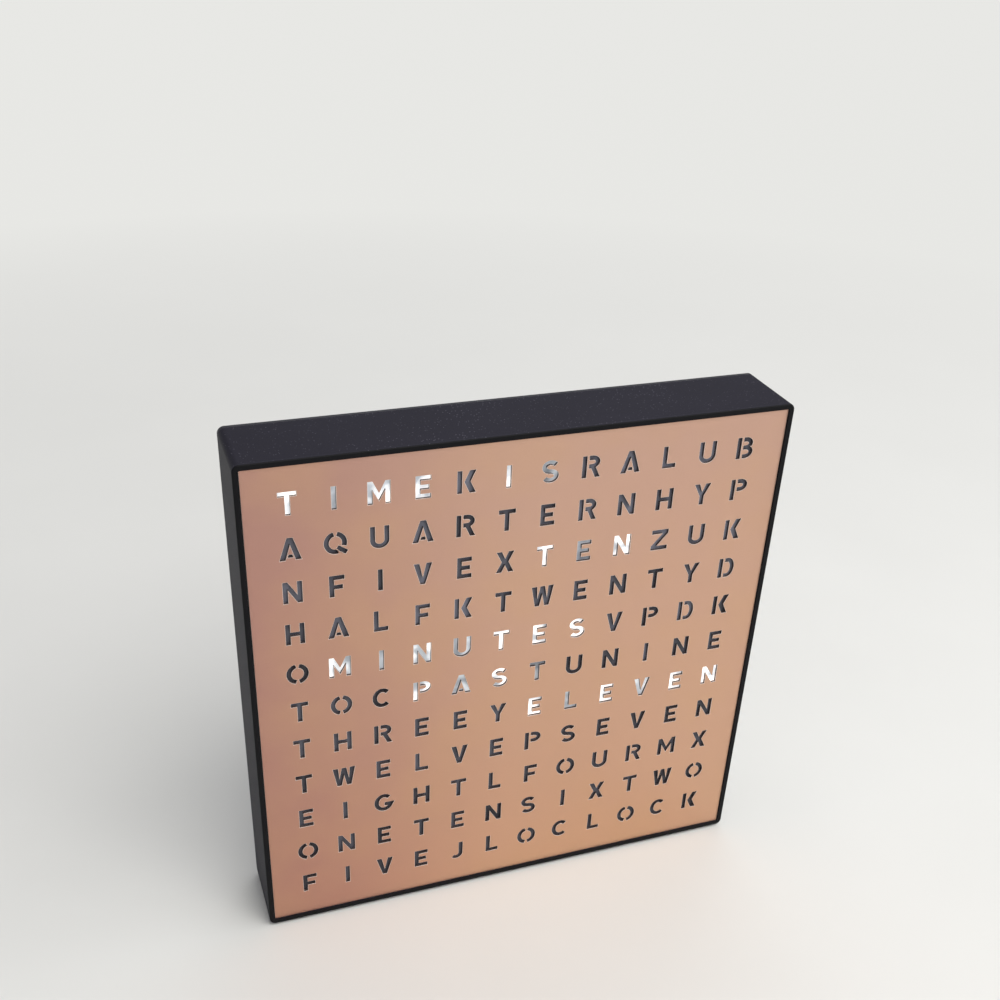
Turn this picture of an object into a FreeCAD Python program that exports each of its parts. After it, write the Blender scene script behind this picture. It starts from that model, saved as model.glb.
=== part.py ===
import FreeCAD
import Part
import math
import os

Vec = FreeCAD.Vector

# A word clock that stands on a table or hangs on a wall. Millimetres throughout.
# X runs to the right of the face, Y from the face to the back, Z up.
# The origin is on the table under the middle of the clock.

# Driving dimensions of the case
case_width = 190.0
case_height = 190.0
case_depth = 30.0
foot_stand = 1.0
wall = 2.2
corner_radius = 2.4
rim_width = 1.9
rim_edge_round = 0.5
plate_recess = 0.6
seam_gap = 0.3
cover_thickness = 2.2
cover_edge_round = 1.1

# Letter field: one light cell behind each letter of the face
columns = 12
rows = 11
column_pitch = 14.3
row_pitch = 15.84
field_rise = 1.0
cell_wall = 1.0
cell_wall_at_board = 1.7
grid_frame = 1.2

# Thickness of each layer behind the rim
plate_thickness = 1.0
plate_gap = 0.1
tape_thickness = 0.2
ledge_thickness = 1.6
diffuser_thickness = 0.5
grid_depth = 7.8
board_thickness = 1.6
board_edge_gap = 0.4

# Rubber feet, let into the underside
foot_radius = 4.0
foot_sink = 0.8
foot_inset = 75.0
foot_front_y = -10.0
foot_rear_y = 7.5

# Lamps on the light board
led_width = 3.5
led_height = 2.8
led_thickness = 1.2

# Screws that hold the cover and the light board
corner_boss_at = 89.4
corner_boss_radius = 2.9
corner_boss_drop = 2.0
cover_screw_head_radius = 2.6
cover_screw_head_height = 1.6
cover_screw_radius = 1.3
cover_screw_length = 11.0
board_boss_at = 89.9
board_boss_radius = 2.4
board_boss_heights = (-60.0, 0.0, 60.0)
small_screw_head_radius = 1.9
small_screw_head_height = 1.3
small_screw_radius = 0.9
small_screw_length = 6.0
thread_play = 0.05

# Battery bay for three AA cells laid side by side
cell_radius = 7.1
cell_length = 50.5
nub_radius = 2.7
nub_length = 1.3
cell_pitch = 15.2
bay_half_x = 28.0
bay_bottom_z = 38.0
bay_height = 45.9
bay_wall = 1.5
bay_floor_thickness = 1.1
bay_play = 0.15
cell_axis_y = 5.75
contact_thickness = 0.4
contact_size = 11.0
bump_radius = 2.3
bump_height = 0.5
spring_wire_radius = 0.35
spring_turns = 3.0
spring_steps_per_turn = 14
spring_base_radius = 4.3
spring_tip_radius = 2.7

# Battery door, hooked at its lower edge and latched at its upper edge
door_thickness = 1.8
door_gap = 0.3
door_half_x = 29.7
door_top_z = 88.0
door_seat_gap = 0.2
lug_at = 18.0
lug_width = 8.0
latch_width = 12.0
latch_wall = 1.0
latch_bend_radius = 1.9
latch_pocket_floor_y = 6.4
lug_slot_depth = 2.4
lug_slot_floor_y = 8.7
collar_depth = 2.6
hinge_groove_gap = 0.3
grip_groove_count = 6
grip_groove_pitch = 1.8
grip_groove_depth = 0.5
grip_groove_half_x = 8.0

# Controls on the back
control_x = 59.0
jack_z = 42.0
switch_z = 60.0
minute_z = 76.0
hour_z = 92.0
button_radius = 3.4
button_hole_radius = 3.7
button_flange_radius = 4.6
button_flange_thickness = 1.0
button_travel = 0.6
plunger_radius = 1.7
plunger_top_y = 10.2
tact_height = 3.5
tact_width = 6.0
switch_travel = 2.0
control_board_half_x = 15.0
control_board_low_z = 29.0
control_board_high_z = 107.0
control_board_back_y = 5.0
control_post_radius = 2.6
control_post_half_x = 11.5
control_post_inset = 4.0
jack_nose_radius = 4.0
jack_bore_radius = 2.9
jack_pin_radius = 1.05
jack_pin_length = 7.8

# Keyhole for a wall screw
keyhole_z = 154.0
keyhole_radius = 4.25
keyhole_slot_radius = 2.25
keyhole_slot_rise = 9.0
keyhole_pocket_depth = 5.0

# Wiring between the contacts and the boards
wire_radius = 0.65
header_length = 10.0
header_height = 4.2
ribbon_width = 7.6
ribbon_thickness = 1.0
led_header_z = 122.0
control_header_z = 98.0

# Places that follow from the sizes above
front_y = -case_depth / 2
back_y = case_depth / 2
mid_z = foot_stand + case_height / 2
field_z = mid_z + field_rise
inner_half = case_width / 2 - wall
recess_half = case_width / 2 - rim_width
plate_front_y = front_y + plate_recess
plate_back_y = plate_front_y + plate_thickness
ledge_front_y = plate_back_y + tape_thickness
ledge_back_y = ledge_front_y + ledge_thickness
diffuser_back_y = ledge_front_y + diffuser_thickness
grid_back_y = diffuser_back_y + grid_depth
board_back_y = grid_back_y + board_thickness
cover_inner_y = back_y - cover_thickness
case_back_y = cover_inner_y - seam_gap
field_half_x = columns * column_pitch / 2
field_half_z = rows * row_pitch / 2
grid_half_x = field_half_x + grid_frame
grid_half_z = field_half_z + grid_frame
opening_half_x = grid_half_x + 0.3
opening_half_z = grid_half_z + 0.3
board_half = inner_half - board_edge_gap
corner_boss_top_y = cover_inner_y - corner_boss_drop
board_notch_at = corner_boss_at - corner_boss_radius - 0.6
bay_top_z = bay_bottom_z + bay_height
bay_floor_y = cell_axis_y - cell_radius - bay_play
cell_margin = (bay_height - 2 * cell_pitch - 2 * cell_radius) / 2
cell_places = [bay_bottom_z + cell_margin + cell_radius + n * cell_pitch for n in range(3)]
contact_low_y = cell_axis_y - contact_size / 2
door_inner_y = back_y - door_thickness
door_seat_y = door_inner_y - door_seat_gap
door_opening_half_x = door_half_x + door_gap
hinge_z = bay_bottom_z + 0.8
door_low_z = hinge_z - door_thickness
opening_low_z = door_low_z - door_gap
opening_high_z = door_top_z + door_gap
collar_inner_y = cover_inner_y - collar_depth
latch_pocket_half_x = latch_width / 2 + 2.0
latch_pocket_low_z = bay_top_z + bay_wall
latch_pocket_high_z = door_top_z + 4.2
lug_slot_low_z = opening_low_z - lug_slot_depth
control_post_places = [(control_x + sx * control_post_half_x, z) for sx in (-1, 1)
                       for z in (control_board_low_z + control_post_inset,
                                 control_board_high_z - control_post_inset)]
button_flange_top_y = cover_inner_y - 0.3
tact_top_y = control_board_back_y + tact_height
solder_side_y = control_board_back_y - board_thickness


def block(x0, x1, y0, y1, z0, z1):
    """A box between two opposite corners."""
    return Part.makeBox(x1 - x0, y1 - y0, z1 - z0, Vec(x0, y0, z0))


def rod_y(x, z, radius, y0, y1):
    """A cylinder that runs from face to back."""
    return Part.makeCylinder(radius, y1 - y0, Vec(x, y0, z), Vec(0, 1, 0))


def rounded_slab(half_x, half_z, centre_z, y0, y1, radius, centre_x=0.0):
    """A plate that faces forward, with round corners."""
    slab = block(centre_x - half_x, centre_x + half_x, y0, y1, centre_z - half_z, centre_z + half_z)
    upright = [e for e in slab.Edges if abs(e.tangentAt(e.FirstParameter).y) > 0.99]
    return slab.makeFillet(radius, upright)


def edges_at_y(shape, y):
    """The edges of a shape that lie wholly in one plane across Y."""
    return [e for e in shape.Edges if abs(e.BoundBox.YMin - y) < 1e-6 and abs(e.BoundBox.YMax - y) < 1e-6]


def corners(offset):
    """The four corner places of the case, as (x, z)."""
    return [(sx * offset, mid_z + sz * offset) for sx in (-1, 1) for sz in (-1, 1)]


def board_boss_places():
    return [(sx * board_boss_at, mid_z + dz) for sx in (-1, 1) for dz in board_boss_heights]


def cell_centres():
    """The middle of each letter cell, as (x, z), from the top row down."""
    places = []
    for row in range(rows):
        for column in range(columns):
            x = (column - (columns - 1) / 2) * column_pitch
            z = field_z + ((rows - 1) / 2 - row) * row_pitch
            places.append((x, z))
    return places


def profile_along_x(points, x0, x1):
    """Extrudes a closed outline of (y, z) points between two X planes."""
    corners_3d = [Vec(x0, y, z) for y, z in points]
    face = Part.Face(Part.makePolygon(corners_3d + [corners_3d[0]]))
    return face.extrude(Vec(x1 - x0, 0, 0))


# Casing: the moulded frame with its rim, ledge and screw bosses
def make_casing():
    body = rounded_slab(case_width / 2, case_height / 2, mid_z, front_y, case_back_y, corner_radius)
    body = body.makeFillet(rim_edge_round, edges_at_y(body, front_y))
    cavity = rounded_slab(inner_half, inner_half, mid_z, ledge_back_y, case_back_y + 1, 1.0)
    recess = rounded_slab(recess_half, recess_half, mid_z, front_y - 1, ledge_front_y, 0.5)
    opening = block(-opening_half_x, opening_half_x, ledge_front_y - 1, ledge_back_y + 1,
                    field_z - opening_half_z, field_z + opening_half_z)
    body = body.cut(Part.makeCompound([cavity, recess, opening]))
    body = body.fuse([corner_boss(x, z) for x, z in corners(corner_boss_at)])
    body = body.fuse([board_boss(x, z) for x, z in board_boss_places()])
    body = body.cut(Part.makeCompound(casing_holes()))
    return body.removeSplitter()


def corner_boss(x, z):
    """A cover screw's boss, tied to both walls of its corner by ribs."""
    side = math.copysign(1, x)
    rise = math.copysign(1, z - mid_z)
    post = rod_y(x, z, corner_boss_radius, ledge_front_y, corner_boss_top_y)
    wall_x = side * (inner_half + 0.5)
    wall_z = mid_z + rise * (inner_half + 0.5)
    rib_a = block(min(x, wall_x), max(x, wall_x), ledge_front_y, corner_boss_top_y, z - 0.6, z + 0.6)
    rib_b = block(x - 0.6, x + 0.6, ledge_front_y, corner_boss_top_y, min(z, wall_z), max(z, wall_z))
    return post.fuse([rib_a, rib_b])


def board_boss(x, z):
    """A light board screw's boss, tied to the side wall."""
    side = math.copysign(1, x)
    wall_x = side * (inner_half + 0.5)
    post = rod_y(x, z, board_boss_radius, ledge_back_y - 0.5, grid_back_y)
    rib = block(min(x, wall_x), max(x, wall_x), ledge_back_y - 0.5, grid_back_y, z - 1.0, z + 1.0)
    return post.fuse(rib)


def casing_holes():
    holes = []
    pilot = cover_screw_radius + thread_play
    for x, z in corners(corner_boss_at):
        holes.append(rod_y(x, z, pilot, corner_boss_top_y - cover_screw_length + 1, corner_boss_top_y + 1))
    pilot = small_screw_radius + thread_play
    for x, z in board_boss_places():
        holes.append(rod_y(x, z, pilot, grid_back_y - small_screw_length + 1, grid_back_y + 1))
    holes += [foot_pocket(x, y) for x, y in foot_places()]
    return holes


# Rubber feet, let into the underside
def foot_places():
    return [(sx * foot_inset, y) for sx in (-1, 1) for y in (foot_front_y, foot_rear_y)]


def foot_pocket(x, y):
    return Part.makeCylinder(foot_radius + 0.1, foot_sink + 1, Vec(x, y, foot_stand - 1))


def make_feet():
    feet = []
    for x, y in foot_places():
        foot = Part.makeCylinder(foot_radius, foot_stand + foot_sink, Vec(x, y, 0))
        lower_rim = [e for e in foot.Edges if e.BoundBox.ZMax < 1e-6]
        feet.append(foot.makeChamfer(0.4, lower_rim))
    return Part.makeCompound(feet)


# Face: the metal plate, its tape, the diffuser and the light grid
def make_face_plate():
    half = recess_half - plate_gap
    return rounded_slab(half, half, mid_z, plate_front_y, plate_back_y, 0.4)


def make_plate_tape():
    half = recess_half - plate_gap - 0.3
    ring = block(-half, half, plate_back_y, ledge_front_y, mid_z - half, mid_z + half)
    hole = block(-opening_half_x - 0.4, opening_half_x + 0.4, plate_back_y - 1, ledge_front_y + 1,
                 field_z - opening_half_z - 0.4, field_z + opening_half_z + 0.4)
    return ring.cut(hole)


def make_diffuser():
    half_x = grid_half_x + 0.1
    half_z = grid_half_z + 0.1
    sheet = block(-half_x, half_x, ledge_front_y, diffuser_back_y, field_z - half_z, field_z + half_z)
    upright = [e for e in sheet.Edges if abs(e.tangentAt(e.FirstParameter).y) > 0.99]
    return sheet.makeChamfer(3.2, upright)


def tapered_cell(x, z):
    """The air space of one light cell: a square funnel, wider at the letter than at the board."""
    front_x = (column_pitch - cell_wall) / 2
    front_z = (row_pitch - cell_wall) / 2
    narrowing = (cell_wall_at_board - cell_wall) / 2
    rear_x = front_x - narrowing
    rear_z = front_z - narrowing
    return Part.makeWedge(x - front_x, diffuser_back_y, z - front_z, z - rear_z, x - rear_x,
                          x + front_x, grid_back_y, z + front_z, z + rear_z, x + rear_x)


def make_light_grid():
    grid = block(-grid_half_x, grid_half_x, diffuser_back_y, grid_back_y,
                 field_z - grid_half_z, field_z + grid_half_z)
    cuts = [tapered_cell(x, z) for x, z in cell_centres()]
    clearance = corner_boss_radius + 0.3
    cuts += [rod_y(x, z, clearance, diffuser_back_y - 1, grid_back_y + 1) for x, z in corners(corner_boss_at)]
    return grid.cut(Part.makeCompound(cuts))


# Light board with one lamp for each cell, and its parts on the back
def make_led_board():
    board = block(-board_half, board_half, grid_back_y, board_back_y, mid_z - board_half, mid_z + board_half)
    cuts = []
    for x, z in corners(corner_boss_at):
        side = math.copysign(1, x)
        rise = math.copysign(1, z - mid_z)
        near_x, far_x = sorted((side * board_notch_at, side * (board_half + 1)))
        near_z, far_z = sorted((mid_z + rise * board_notch_at, mid_z + rise * (board_half + 1)))
        cuts.append(block(near_x, far_x, grid_back_y - 1, board_back_y + 1, near_z, far_z))
    for x, z in board_boss_places():
        cuts.append(rod_y(x, z, small_screw_radius + 0.25, grid_back_y - 1, board_back_y + 1))
    return board.cut(Part.makeCompound(cuts))


def make_leds():
    lamps = []
    for x, z in cell_centres():
        lamps.append(block(x - led_width / 2, x + led_width / 2, grid_back_y - led_thickness, grid_back_y,
                           z - led_height / 2, z + led_height / 2))
    return Part.makeCompound(lamps)


def gull_wing_chip(x, z, length, width, height, pins):
    """A flat chip body with a row of bent legs on both long sides, standing on the board's back."""
    y = board_back_y
    body = block(x - length / 2, x + length / 2, y + 0.2, y + height, z - width / 2, z + width / 2)
    pitch = 1.27
    legs = []
    for side in (-1, 1):
        for n in range(pins):
            leg_x = x + (n - (pins - 1) / 2) * pitch
            a, b = sorted((z + side * width / 2, z + side * (width / 2 + 1.1)))
            legs.append(block(leg_x - 0.2, leg_x + 0.2, y, y + 0.9, a, b))
    return body.fuse(legs)


def make_driver_chips():
    return Part.makeCompound([gull_wing_chip(x, 132.0, 12.8, 7.5, 2.3, 8) for x in (-52.0, -24.0)])


def make_control_chip():
    return gull_wing_chip(4.0, 132.0, 10.3, 7.5, 2.3, 6)


def make_crystal():
    return Part.makeCylinder(1.5, 8.0, Vec(14.0, board_back_y + 1.5, 136.0), Vec(1, 0, 0))


def make_capacitors():
    return Part.makeCompound([rod_y(x, 112.0, 3.15, board_back_y, board_back_y + 5.4)
                              for x in (-44.0, -34.0)])


# Battery bay and rear cover
def outer_well():
    """The outside of the battery bay, latch pocket and thickened collar, before they are hollowed."""
    tub = rounded_slab(bay_half_x + bay_wall, bay_height / 2 + bay_wall, bay_bottom_z + bay_height / 2,
                       bay_floor_y - bay_floor_thickness, cover_inner_y + 0.1, 1.2)
    collar_middle = (latch_pocket_high_z + lug_slot_low_z) / 2
    collar = rounded_slab(door_opening_half_x + 1.6, latch_pocket_high_z - collar_middle + 1.3,
                          collar_middle, collar_inner_y, cover_inner_y + 0.1, 2.0)
    pocket = block(-latch_pocket_half_x - 1.2, latch_pocket_half_x + 1.2, latch_pocket_floor_y - 1.2,
                   cover_inner_y + 0.1, latch_pocket_low_z - 0.5, latch_pocket_high_z + 1.2)
    return [tub, collar, pocket]


def bay_cuts():
    """What is taken out of the rear cover for the cells, the door, its hooks and its latch."""
    mid_bay = bay_bottom_z + bay_height / 2
    inside = rounded_slab(bay_half_x, bay_height / 2, mid_bay, bay_floor_y, back_y + 1, 0.6)
    mid_opening = (opening_low_z + opening_high_z) / 2
    door_seat = rounded_slab(door_opening_half_x, (opening_high_z - opening_low_z) / 2, mid_opening,
                             door_seat_y, back_y + 1, 1.3)
    pocket = block(-latch_pocket_half_x, latch_pocket_half_x, latch_pocket_floor_y, back_y + 1,
                   latch_pocket_low_z, latch_pocket_high_z)
    groove = Part.makeCylinder(door_thickness + hinge_groove_gap, 2 * door_opening_half_x,
                               Vec(-door_opening_half_x, door_inner_y, hinge_z), Vec(1, 0, 0))
    cuts = [inside, door_seat, pocket, groove]
    for side in (-1, 1):
        half = lug_width / 2 + 0.5
        cuts.append(block(side * lug_at - half, side * lug_at + half, lug_slot_floor_y, cover_inner_y,
                          lug_slot_low_z, bay_bottom_z + 0.1))
    for side, cell in ((-1, 0), (1, 2)):
        tail_z = bay_bottom_z + cell_margin + cell_radius + cell * cell_pitch
        a, b = sorted((side * (bay_half_x - 0.1), side * (bay_half_x + bay_wall + 0.5)))
        cuts.append(block(a, b, contact_low_y - 0.1, contact_low_y + contact_thickness + 0.1,
                          tail_z - 1.7, tail_z + 1.7))
    return cuts


def cell_saddle(x):
    """A rib on the bay floor, hollowed to the round of the three cells."""
    rib = block(x - 1.0, x + 1.0, bay_floor_y - 0.1, bay_floor_y + 3.4, bay_bottom_z - 0.1, bay_top_z + 0.1)
    rounds = [Part.makeCylinder(cell_radius + bay_play, 4.0, Vec(x - 2.0, cell_axis_y, z), Vec(1, 0, 0))
              for z in cell_places]
    return rib.cut(Part.makeCompound(rounds))


def keyhole_solids():
    """The keyhole's inner box, and the space cut from it and from the cover."""
    pocket_half_x = keyhole_radius + 1.4
    low = keyhole_z - keyhole_radius - 1.2
    high = keyhole_z + keyhole_slot_rise + keyhole_slot_radius + 2.6
    floor_y = cover_inner_y - keyhole_pocket_depth
    shell = block(-pocket_half_x - 1.2, pocket_half_x + 1.2, floor_y - 1.2, cover_inner_y + 0.1,
                  low - 1.2, high + 1.2)
    space = block(-pocket_half_x, pocket_half_x, floor_y, cover_inner_y, low, high)
    entry = rod_y(0, keyhole_z, keyhole_radius, cover_inner_y - 0.5, back_y + 1)
    slot_end = rod_y(0, keyhole_z + keyhole_slot_rise, keyhole_slot_radius, cover_inner_y - 0.5, back_y + 1)
    slot = block(-keyhole_slot_radius, keyhole_slot_radius, cover_inner_y - 0.5, back_y + 1,
                 keyhole_z, keyhole_z + keyhole_slot_rise)
    return shell, [space, entry, slot_end, slot]


def locating_lips():
    """Four straight lips that centre the cover inside the casing walls."""
    outer = inner_half - 0.15
    inner = outer - 1.4
    depth_y = cover_inner_y - 3.0
    reach = 78.0
    lips = []
    for side in (-1, 1):
        a, b = sorted((side * inner, side * outer))
        lips.append(block(a, b, depth_y, cover_inner_y + 0.1, mid_z - reach, mid_z + reach))
        lips.append(block(-reach, reach, depth_y, cover_inner_y + 0.1, mid_z + a, mid_z + b))
    return lips


def make_rear_cover():
    panel = rounded_slab(case_width / 2, case_height / 2, mid_z, cover_inner_y, back_y, corner_radius)
    panel = panel.makeFillet(cover_edge_round, edges_at_y(panel, back_y))
    keyhole_shell, keyhole_cuts = keyhole_solids()
    added = outer_well() + [keyhole_shell] + locating_lips()
    added += [rod_y(x, z, corner_boss_radius + 0.1, corner_boss_top_y, cover_inner_y + 0.1)
              for x, z in corners(corner_boss_at)]
    added += [rod_y(x, z, control_post_radius, control_board_back_y, cover_inner_y + 0.1)
              for x, z in control_post_places]
    body = panel.fuse(added)
    cuts = bay_cuts() + keyhole_cuts
    for x, z in corners(corner_boss_at):
        cuts.append(rod_y(x, z, cover_screw_head_radius + 0.3, cover_inner_y, back_y + 1))
        cuts.append(rod_y(x, z, cover_screw_radius + 0.3, corner_boss_top_y - 1, cover_inner_y + 1))
    for x, z in control_post_places:
        cuts.append(rod_y(x, z, small_screw_radius + thread_play, control_board_back_y - 1,
                          control_board_back_y + small_screw_length))
    for z in (minute_z, hour_z):
        cuts.append(rod_y(control_x, z, button_hole_radius, cover_inner_y - 1, back_y + 1))
        cuts.append(Part.makeCone(button_hole_radius, button_hole_radius + 1.2, 1.2,
                                  Vec(control_x, back_y - 1.2, z), Vec(0, 1, 0)))
    cuts.append(rod_y(control_x, jack_z, jack_nose_radius + 0.2, cover_inner_y - 1, back_y + 1))
    cuts.append(Part.makeCone(jack_nose_radius + 0.2, jack_nose_radius + 1.0, 0.8,
                              Vec(control_x, back_y - 0.8, jack_z), Vec(0, 1, 0)))
    cuts.append(block(control_x - 1.5, control_x + 1.5, cover_inner_y - 1, back_y + 1,
                      switch_z - switch_travel - 1.6, switch_z + 1.6))
    cuts.append(rounded_slab(3.4, 5.4, switch_z - switch_travel / 2, back_y - 1.0, back_y + 1, 1.2,
                             centre_x=control_x))
    body = body.cut(Part.makeCompound(cuts))
    return body.fuse([cell_saddle(-14.0), cell_saddle(14.0)]).removeSplitter()


def pan_head_screw(x, z, head_y, head_radius, head_height, radius, length, back_facing=True):
    """A pan-head screw. head_y is the plane under its head, and the shank runs away from the head."""
    direction = 1 if back_facing else -1
    head = Part.makeCylinder(head_radius, head_height, Vec(x, head_y, z), Vec(0, direction, 0))
    shank = Part.makeCylinder(radius, length, Vec(x, head_y, z), Vec(0, -direction, 0))
    return head.fuse(shank)


def make_cover_screws():
    return Part.makeCompound([pan_head_screw(x, z, cover_inner_y, cover_screw_head_radius,
                                             cover_screw_head_height, cover_screw_radius, cover_screw_length)
                              for x, z in corners(corner_boss_at)])


def make_board_screws():
    return Part.makeCompound([pan_head_screw(x, z, board_back_y, small_screw_head_radius,
                                             small_screw_head_height, small_screw_radius, small_screw_length)
                              for x, z in board_boss_places()])


# Cells, contacts and springs
def make_cell(z, flip):
    """One AA cell on its side: a can with rolled ends and a raised nub at the positive end."""
    start_x = bay_half_x - contact_thickness - bump_height
    outline = [(0, 0), (nub_radius, 0), (nub_radius, nub_length), (cell_radius - 0.8, nub_length),
               (cell_radius, nub_length + 0.8), (cell_radius, cell_length), (0, cell_length)]
    direction = 1 if flip else -1
    origin_x = -start_x if flip else start_x
    points = [Vec(origin_x + direction * s, cell_axis_y + r, z) for r, s in outline]
    face = Part.Face(Part.makePolygon(points + [points[0]]))
    return face.revolve(Vec(0, cell_axis_y, z), Vec(1, 0, 0), 360)


def make_cells():
    return Part.makeCompound([make_cell(z, n == 1) for n, z in enumerate(cell_places)])


def contact_plate(side, first, last, bumps, tail_at=None):
    """A plated spring-steel contact on one end wall, with a bump where a cell's nub touches it."""
    outer = side * bay_half_x
    inner = side * (bay_half_x - contact_thickness)
    a, b = sorted((outer, inner))
    low = cell_places[first] - contact_size / 2
    high = cell_places[last] + contact_size / 2
    plate = block(a, b, contact_low_y, contact_low_y + contact_size, low, high)
    parts = []
    for n in bumps:
        parts.append(Part.makeCone(bump_radius + 0.6, bump_radius - 0.6, bump_height,
                                   Vec(inner, cell_axis_y, cell_places[n]), Vec(-side, 0, 0)))
    if tail_at is not None:
        a, b = sorted((inner, side * (bay_half_x + bay_wall + 2.2)))
        parts.append(block(a, b, contact_low_y, contact_low_y + contact_thickness,
                           cell_places[tail_at] - 1.4, cell_places[tail_at] + 1.4))
    return plate.fuse(parts) if parts else plate


def spring_room():
    """The length left for a contact spring between its plate and the flat end of the cell."""
    return 2 * (bay_half_x - contact_thickness) - bump_height - cell_length


def spring_stations():
    """Angle, coil radius and place along the axis of each point on the spring's centre line."""
    steps = int(spring_turns * spring_steps_per_turn)
    travel = spring_room() - 2 * spring_wire_radius
    stations = []
    for n in range(steps + 1):
        share = n / steps
        angle = 2 * math.pi * spring_turns * share
        radius = spring_base_radius + (spring_tip_radius - spring_base_radius) * share
        stations.append((angle, radius, spring_wire_radius + travel * share))
    return stations


def spring_gap():
    """The least gap between one turn of the spring and the next, measured on its centre line."""
    points = [Vec(along, r * math.cos(a), r * math.sin(a)) for a, r, along in spring_stations()]
    apart = spring_steps_per_turn // 2
    gaps = [p.distanceToPoint(q) for n, p in enumerate(points) for q in points[n + apart:]]
    return min(gaps) - 2 * spring_wire_radius


def make_spring(side, cell):
    """A conical contact spring between the plate and the flat end of a cell: a six-sided wire, wound."""
    start_x = side * (bay_half_x - contact_thickness)
    rings = []
    for angle, coil_radius, along in spring_stations():
        ring = []
        for k in range(6):
            turn = math.pi / 3 * k
            r = coil_radius + spring_wire_radius * math.cos(turn)
            x = start_x - side * (along + spring_wire_radius * 0.98 * math.sin(turn))
            ring.append(Vec(x, cell_axis_y + r * math.cos(angle), cell_places[cell] + r * math.sin(angle)))
        rings.append(ring)
    faces = [cap_face(rings[0]), cap_face(rings[-1])]
    for low, high in zip(rings, rings[1:]):
        for k in range(6):
            m = (k + 1) % 6
            faces.append(triangle(low[k], low[m], high[m]))
            faces.append(triangle(low[k], high[m], high[k]))
    solid = Part.makeSolid(Part.makeShell(faces))
    return solid if solid.Volume > 0 else solid.reversed()


def triangle(a, b, c):
    return Part.Face(Part.makePolygon([a, b, c, a]))


def cap_face(ring):
    return Part.Face(Part.makePolygon(ring + [ring[0]]))


def make_springs():
    return Part.makeCompound([make_spring(-1, 0), make_spring(1, 1), make_spring(-1, 2)])


# Battery door: a panel with a round hinge edge, two hooks, two ribs and a bent latch
def make_door():
    y0, y1 = door_inner_y, back_y
    panel = block(-door_half_x, door_half_x, y0, y1, hinge_z, door_top_z)
    upright = [e for e in panel.Edges if abs(e.tangentAt(e.FirstParameter).y) > 0.99]
    panel = panel.makeFillet(1.0, [e for e in upright if e.BoundBox.ZMin > hinge_z + 1])
    edge_round = Part.makeCylinder(door_thickness, 2 * door_half_x, Vec(-door_half_x, y0, hinge_z),
                                   Vec(1, 0, 0))
    quarter = block(-door_half_x, door_half_x, y0, y1 + 1, hinge_z - door_thickness - 1, hinge_z)
    parts = [edge_round.common(quarter)]
    parts += [door_hook(side) for side in (-1, 1)]
    for n in (0, 1):
        rib_z = (cell_places[n] + cell_places[n + 1]) / 2
        parts.append(block(-24.0, 24.0, y0 - 2.6, y0 + 0.1, rib_z - 0.5, rib_z + 0.5))
    parts.append(door_latch())
    return panel.fuse(parts).cut(Part.makeCompound(grip_grooves())).removeSplitter()


def grip_grooves():
    """Shallow V grooves across the door below its latch, for a thumb to push on."""
    grooves = []
    for n in range(grip_groove_count):
        z = door_top_z - 4.0 - n * grip_groove_pitch
        outline = [(back_y + 0.1, z - grip_groove_depth), (back_y + 0.1, z + grip_groove_depth),
                   (back_y - grip_groove_depth, z)]
        grooves.append(profile_along_x(outline, -grip_groove_half_x, grip_groove_half_x))
    return grooves


def door_hook(side):
    """A claw under the cover's lip, clear of the cells as the door swings."""
    top_y = cover_inner_y - 0.1
    low_y = top_y - 1.0
    tip_z = opening_low_z - 1.8
    outline = [(door_inner_y + 0.1, door_low_z + 0.5), (top_y, door_low_z + 0.1), (top_y, tip_z),
               (low_y, tip_z), (low_y, hinge_z - 0.2), (door_inner_y + 0.1, hinge_z + 2.2)]
    return profile_along_x(outline, side * lug_at - lug_width / 2, side * lug_at + lug_width / 2)


def door_latch():
    """A U-shaped spring tab moulded with the door, ending in a finger pad."""
    y_bend = 9.0
    z_bend = door_top_z - 0.2
    x0, x1 = -latch_width / 2, latch_width / 2
    r_out, r_in = latch_bend_radius, latch_bend_radius - latch_wall
    bend = Part.makeCylinder(r_out, x1 - x0, Vec(x0, y_bend, z_bend), Vec(1, 0, 0))
    bend = bend.cut(Part.makeCylinder(r_in, x1 - x0 + 2, Vec(x0 - 1, y_bend, z_bend), Vec(1, 0, 0)))
    bend = bend.cut(block(x0 - 1, x1 + 1, y_bend, y_bend + 5, z_bend - 4, z_bend + 4))
    leg_in = block(x0, x1, y_bend, door_inner_y + 0.1, z_bend - r_out, z_bend - r_in)
    leg_out = block(x0, x1, y_bend, back_y - 0.5, z_bend + r_in, z_bend + r_out)
    tip_z = z_bend + r_out + 1.9
    pad = profile_along_x([(back_y - 1.9, tip_z - 2.0), (back_y - 0.4, tip_z - 2.8), (back_y - 0.4, tip_z),
                           (back_y - 1.4, tip_z)], x0, x1)
    return bend.fuse([leg_in, leg_out, pad])


# Controls: board, jack, buttons and slide switch
def make_control_board():
    board = block(control_x - control_board_half_x, control_x + control_board_half_x,
                  solder_side_y, control_board_back_y, control_board_low_z, control_board_high_z)
    holes = [rod_y(x, z, small_screw_radius + 0.25, 0.0, control_board_back_y + 1)
             for x, z in control_post_places]
    return board.cut(Part.makeCompound(holes))


def make_control_screws():
    return Part.makeCompound([pan_head_screw(x, z, solder_side_y, small_screw_head_radius,
                                             small_screw_head_height, small_screw_radius, small_screw_length,
                                             back_facing=False)
                              for x, z in control_post_places])


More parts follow.
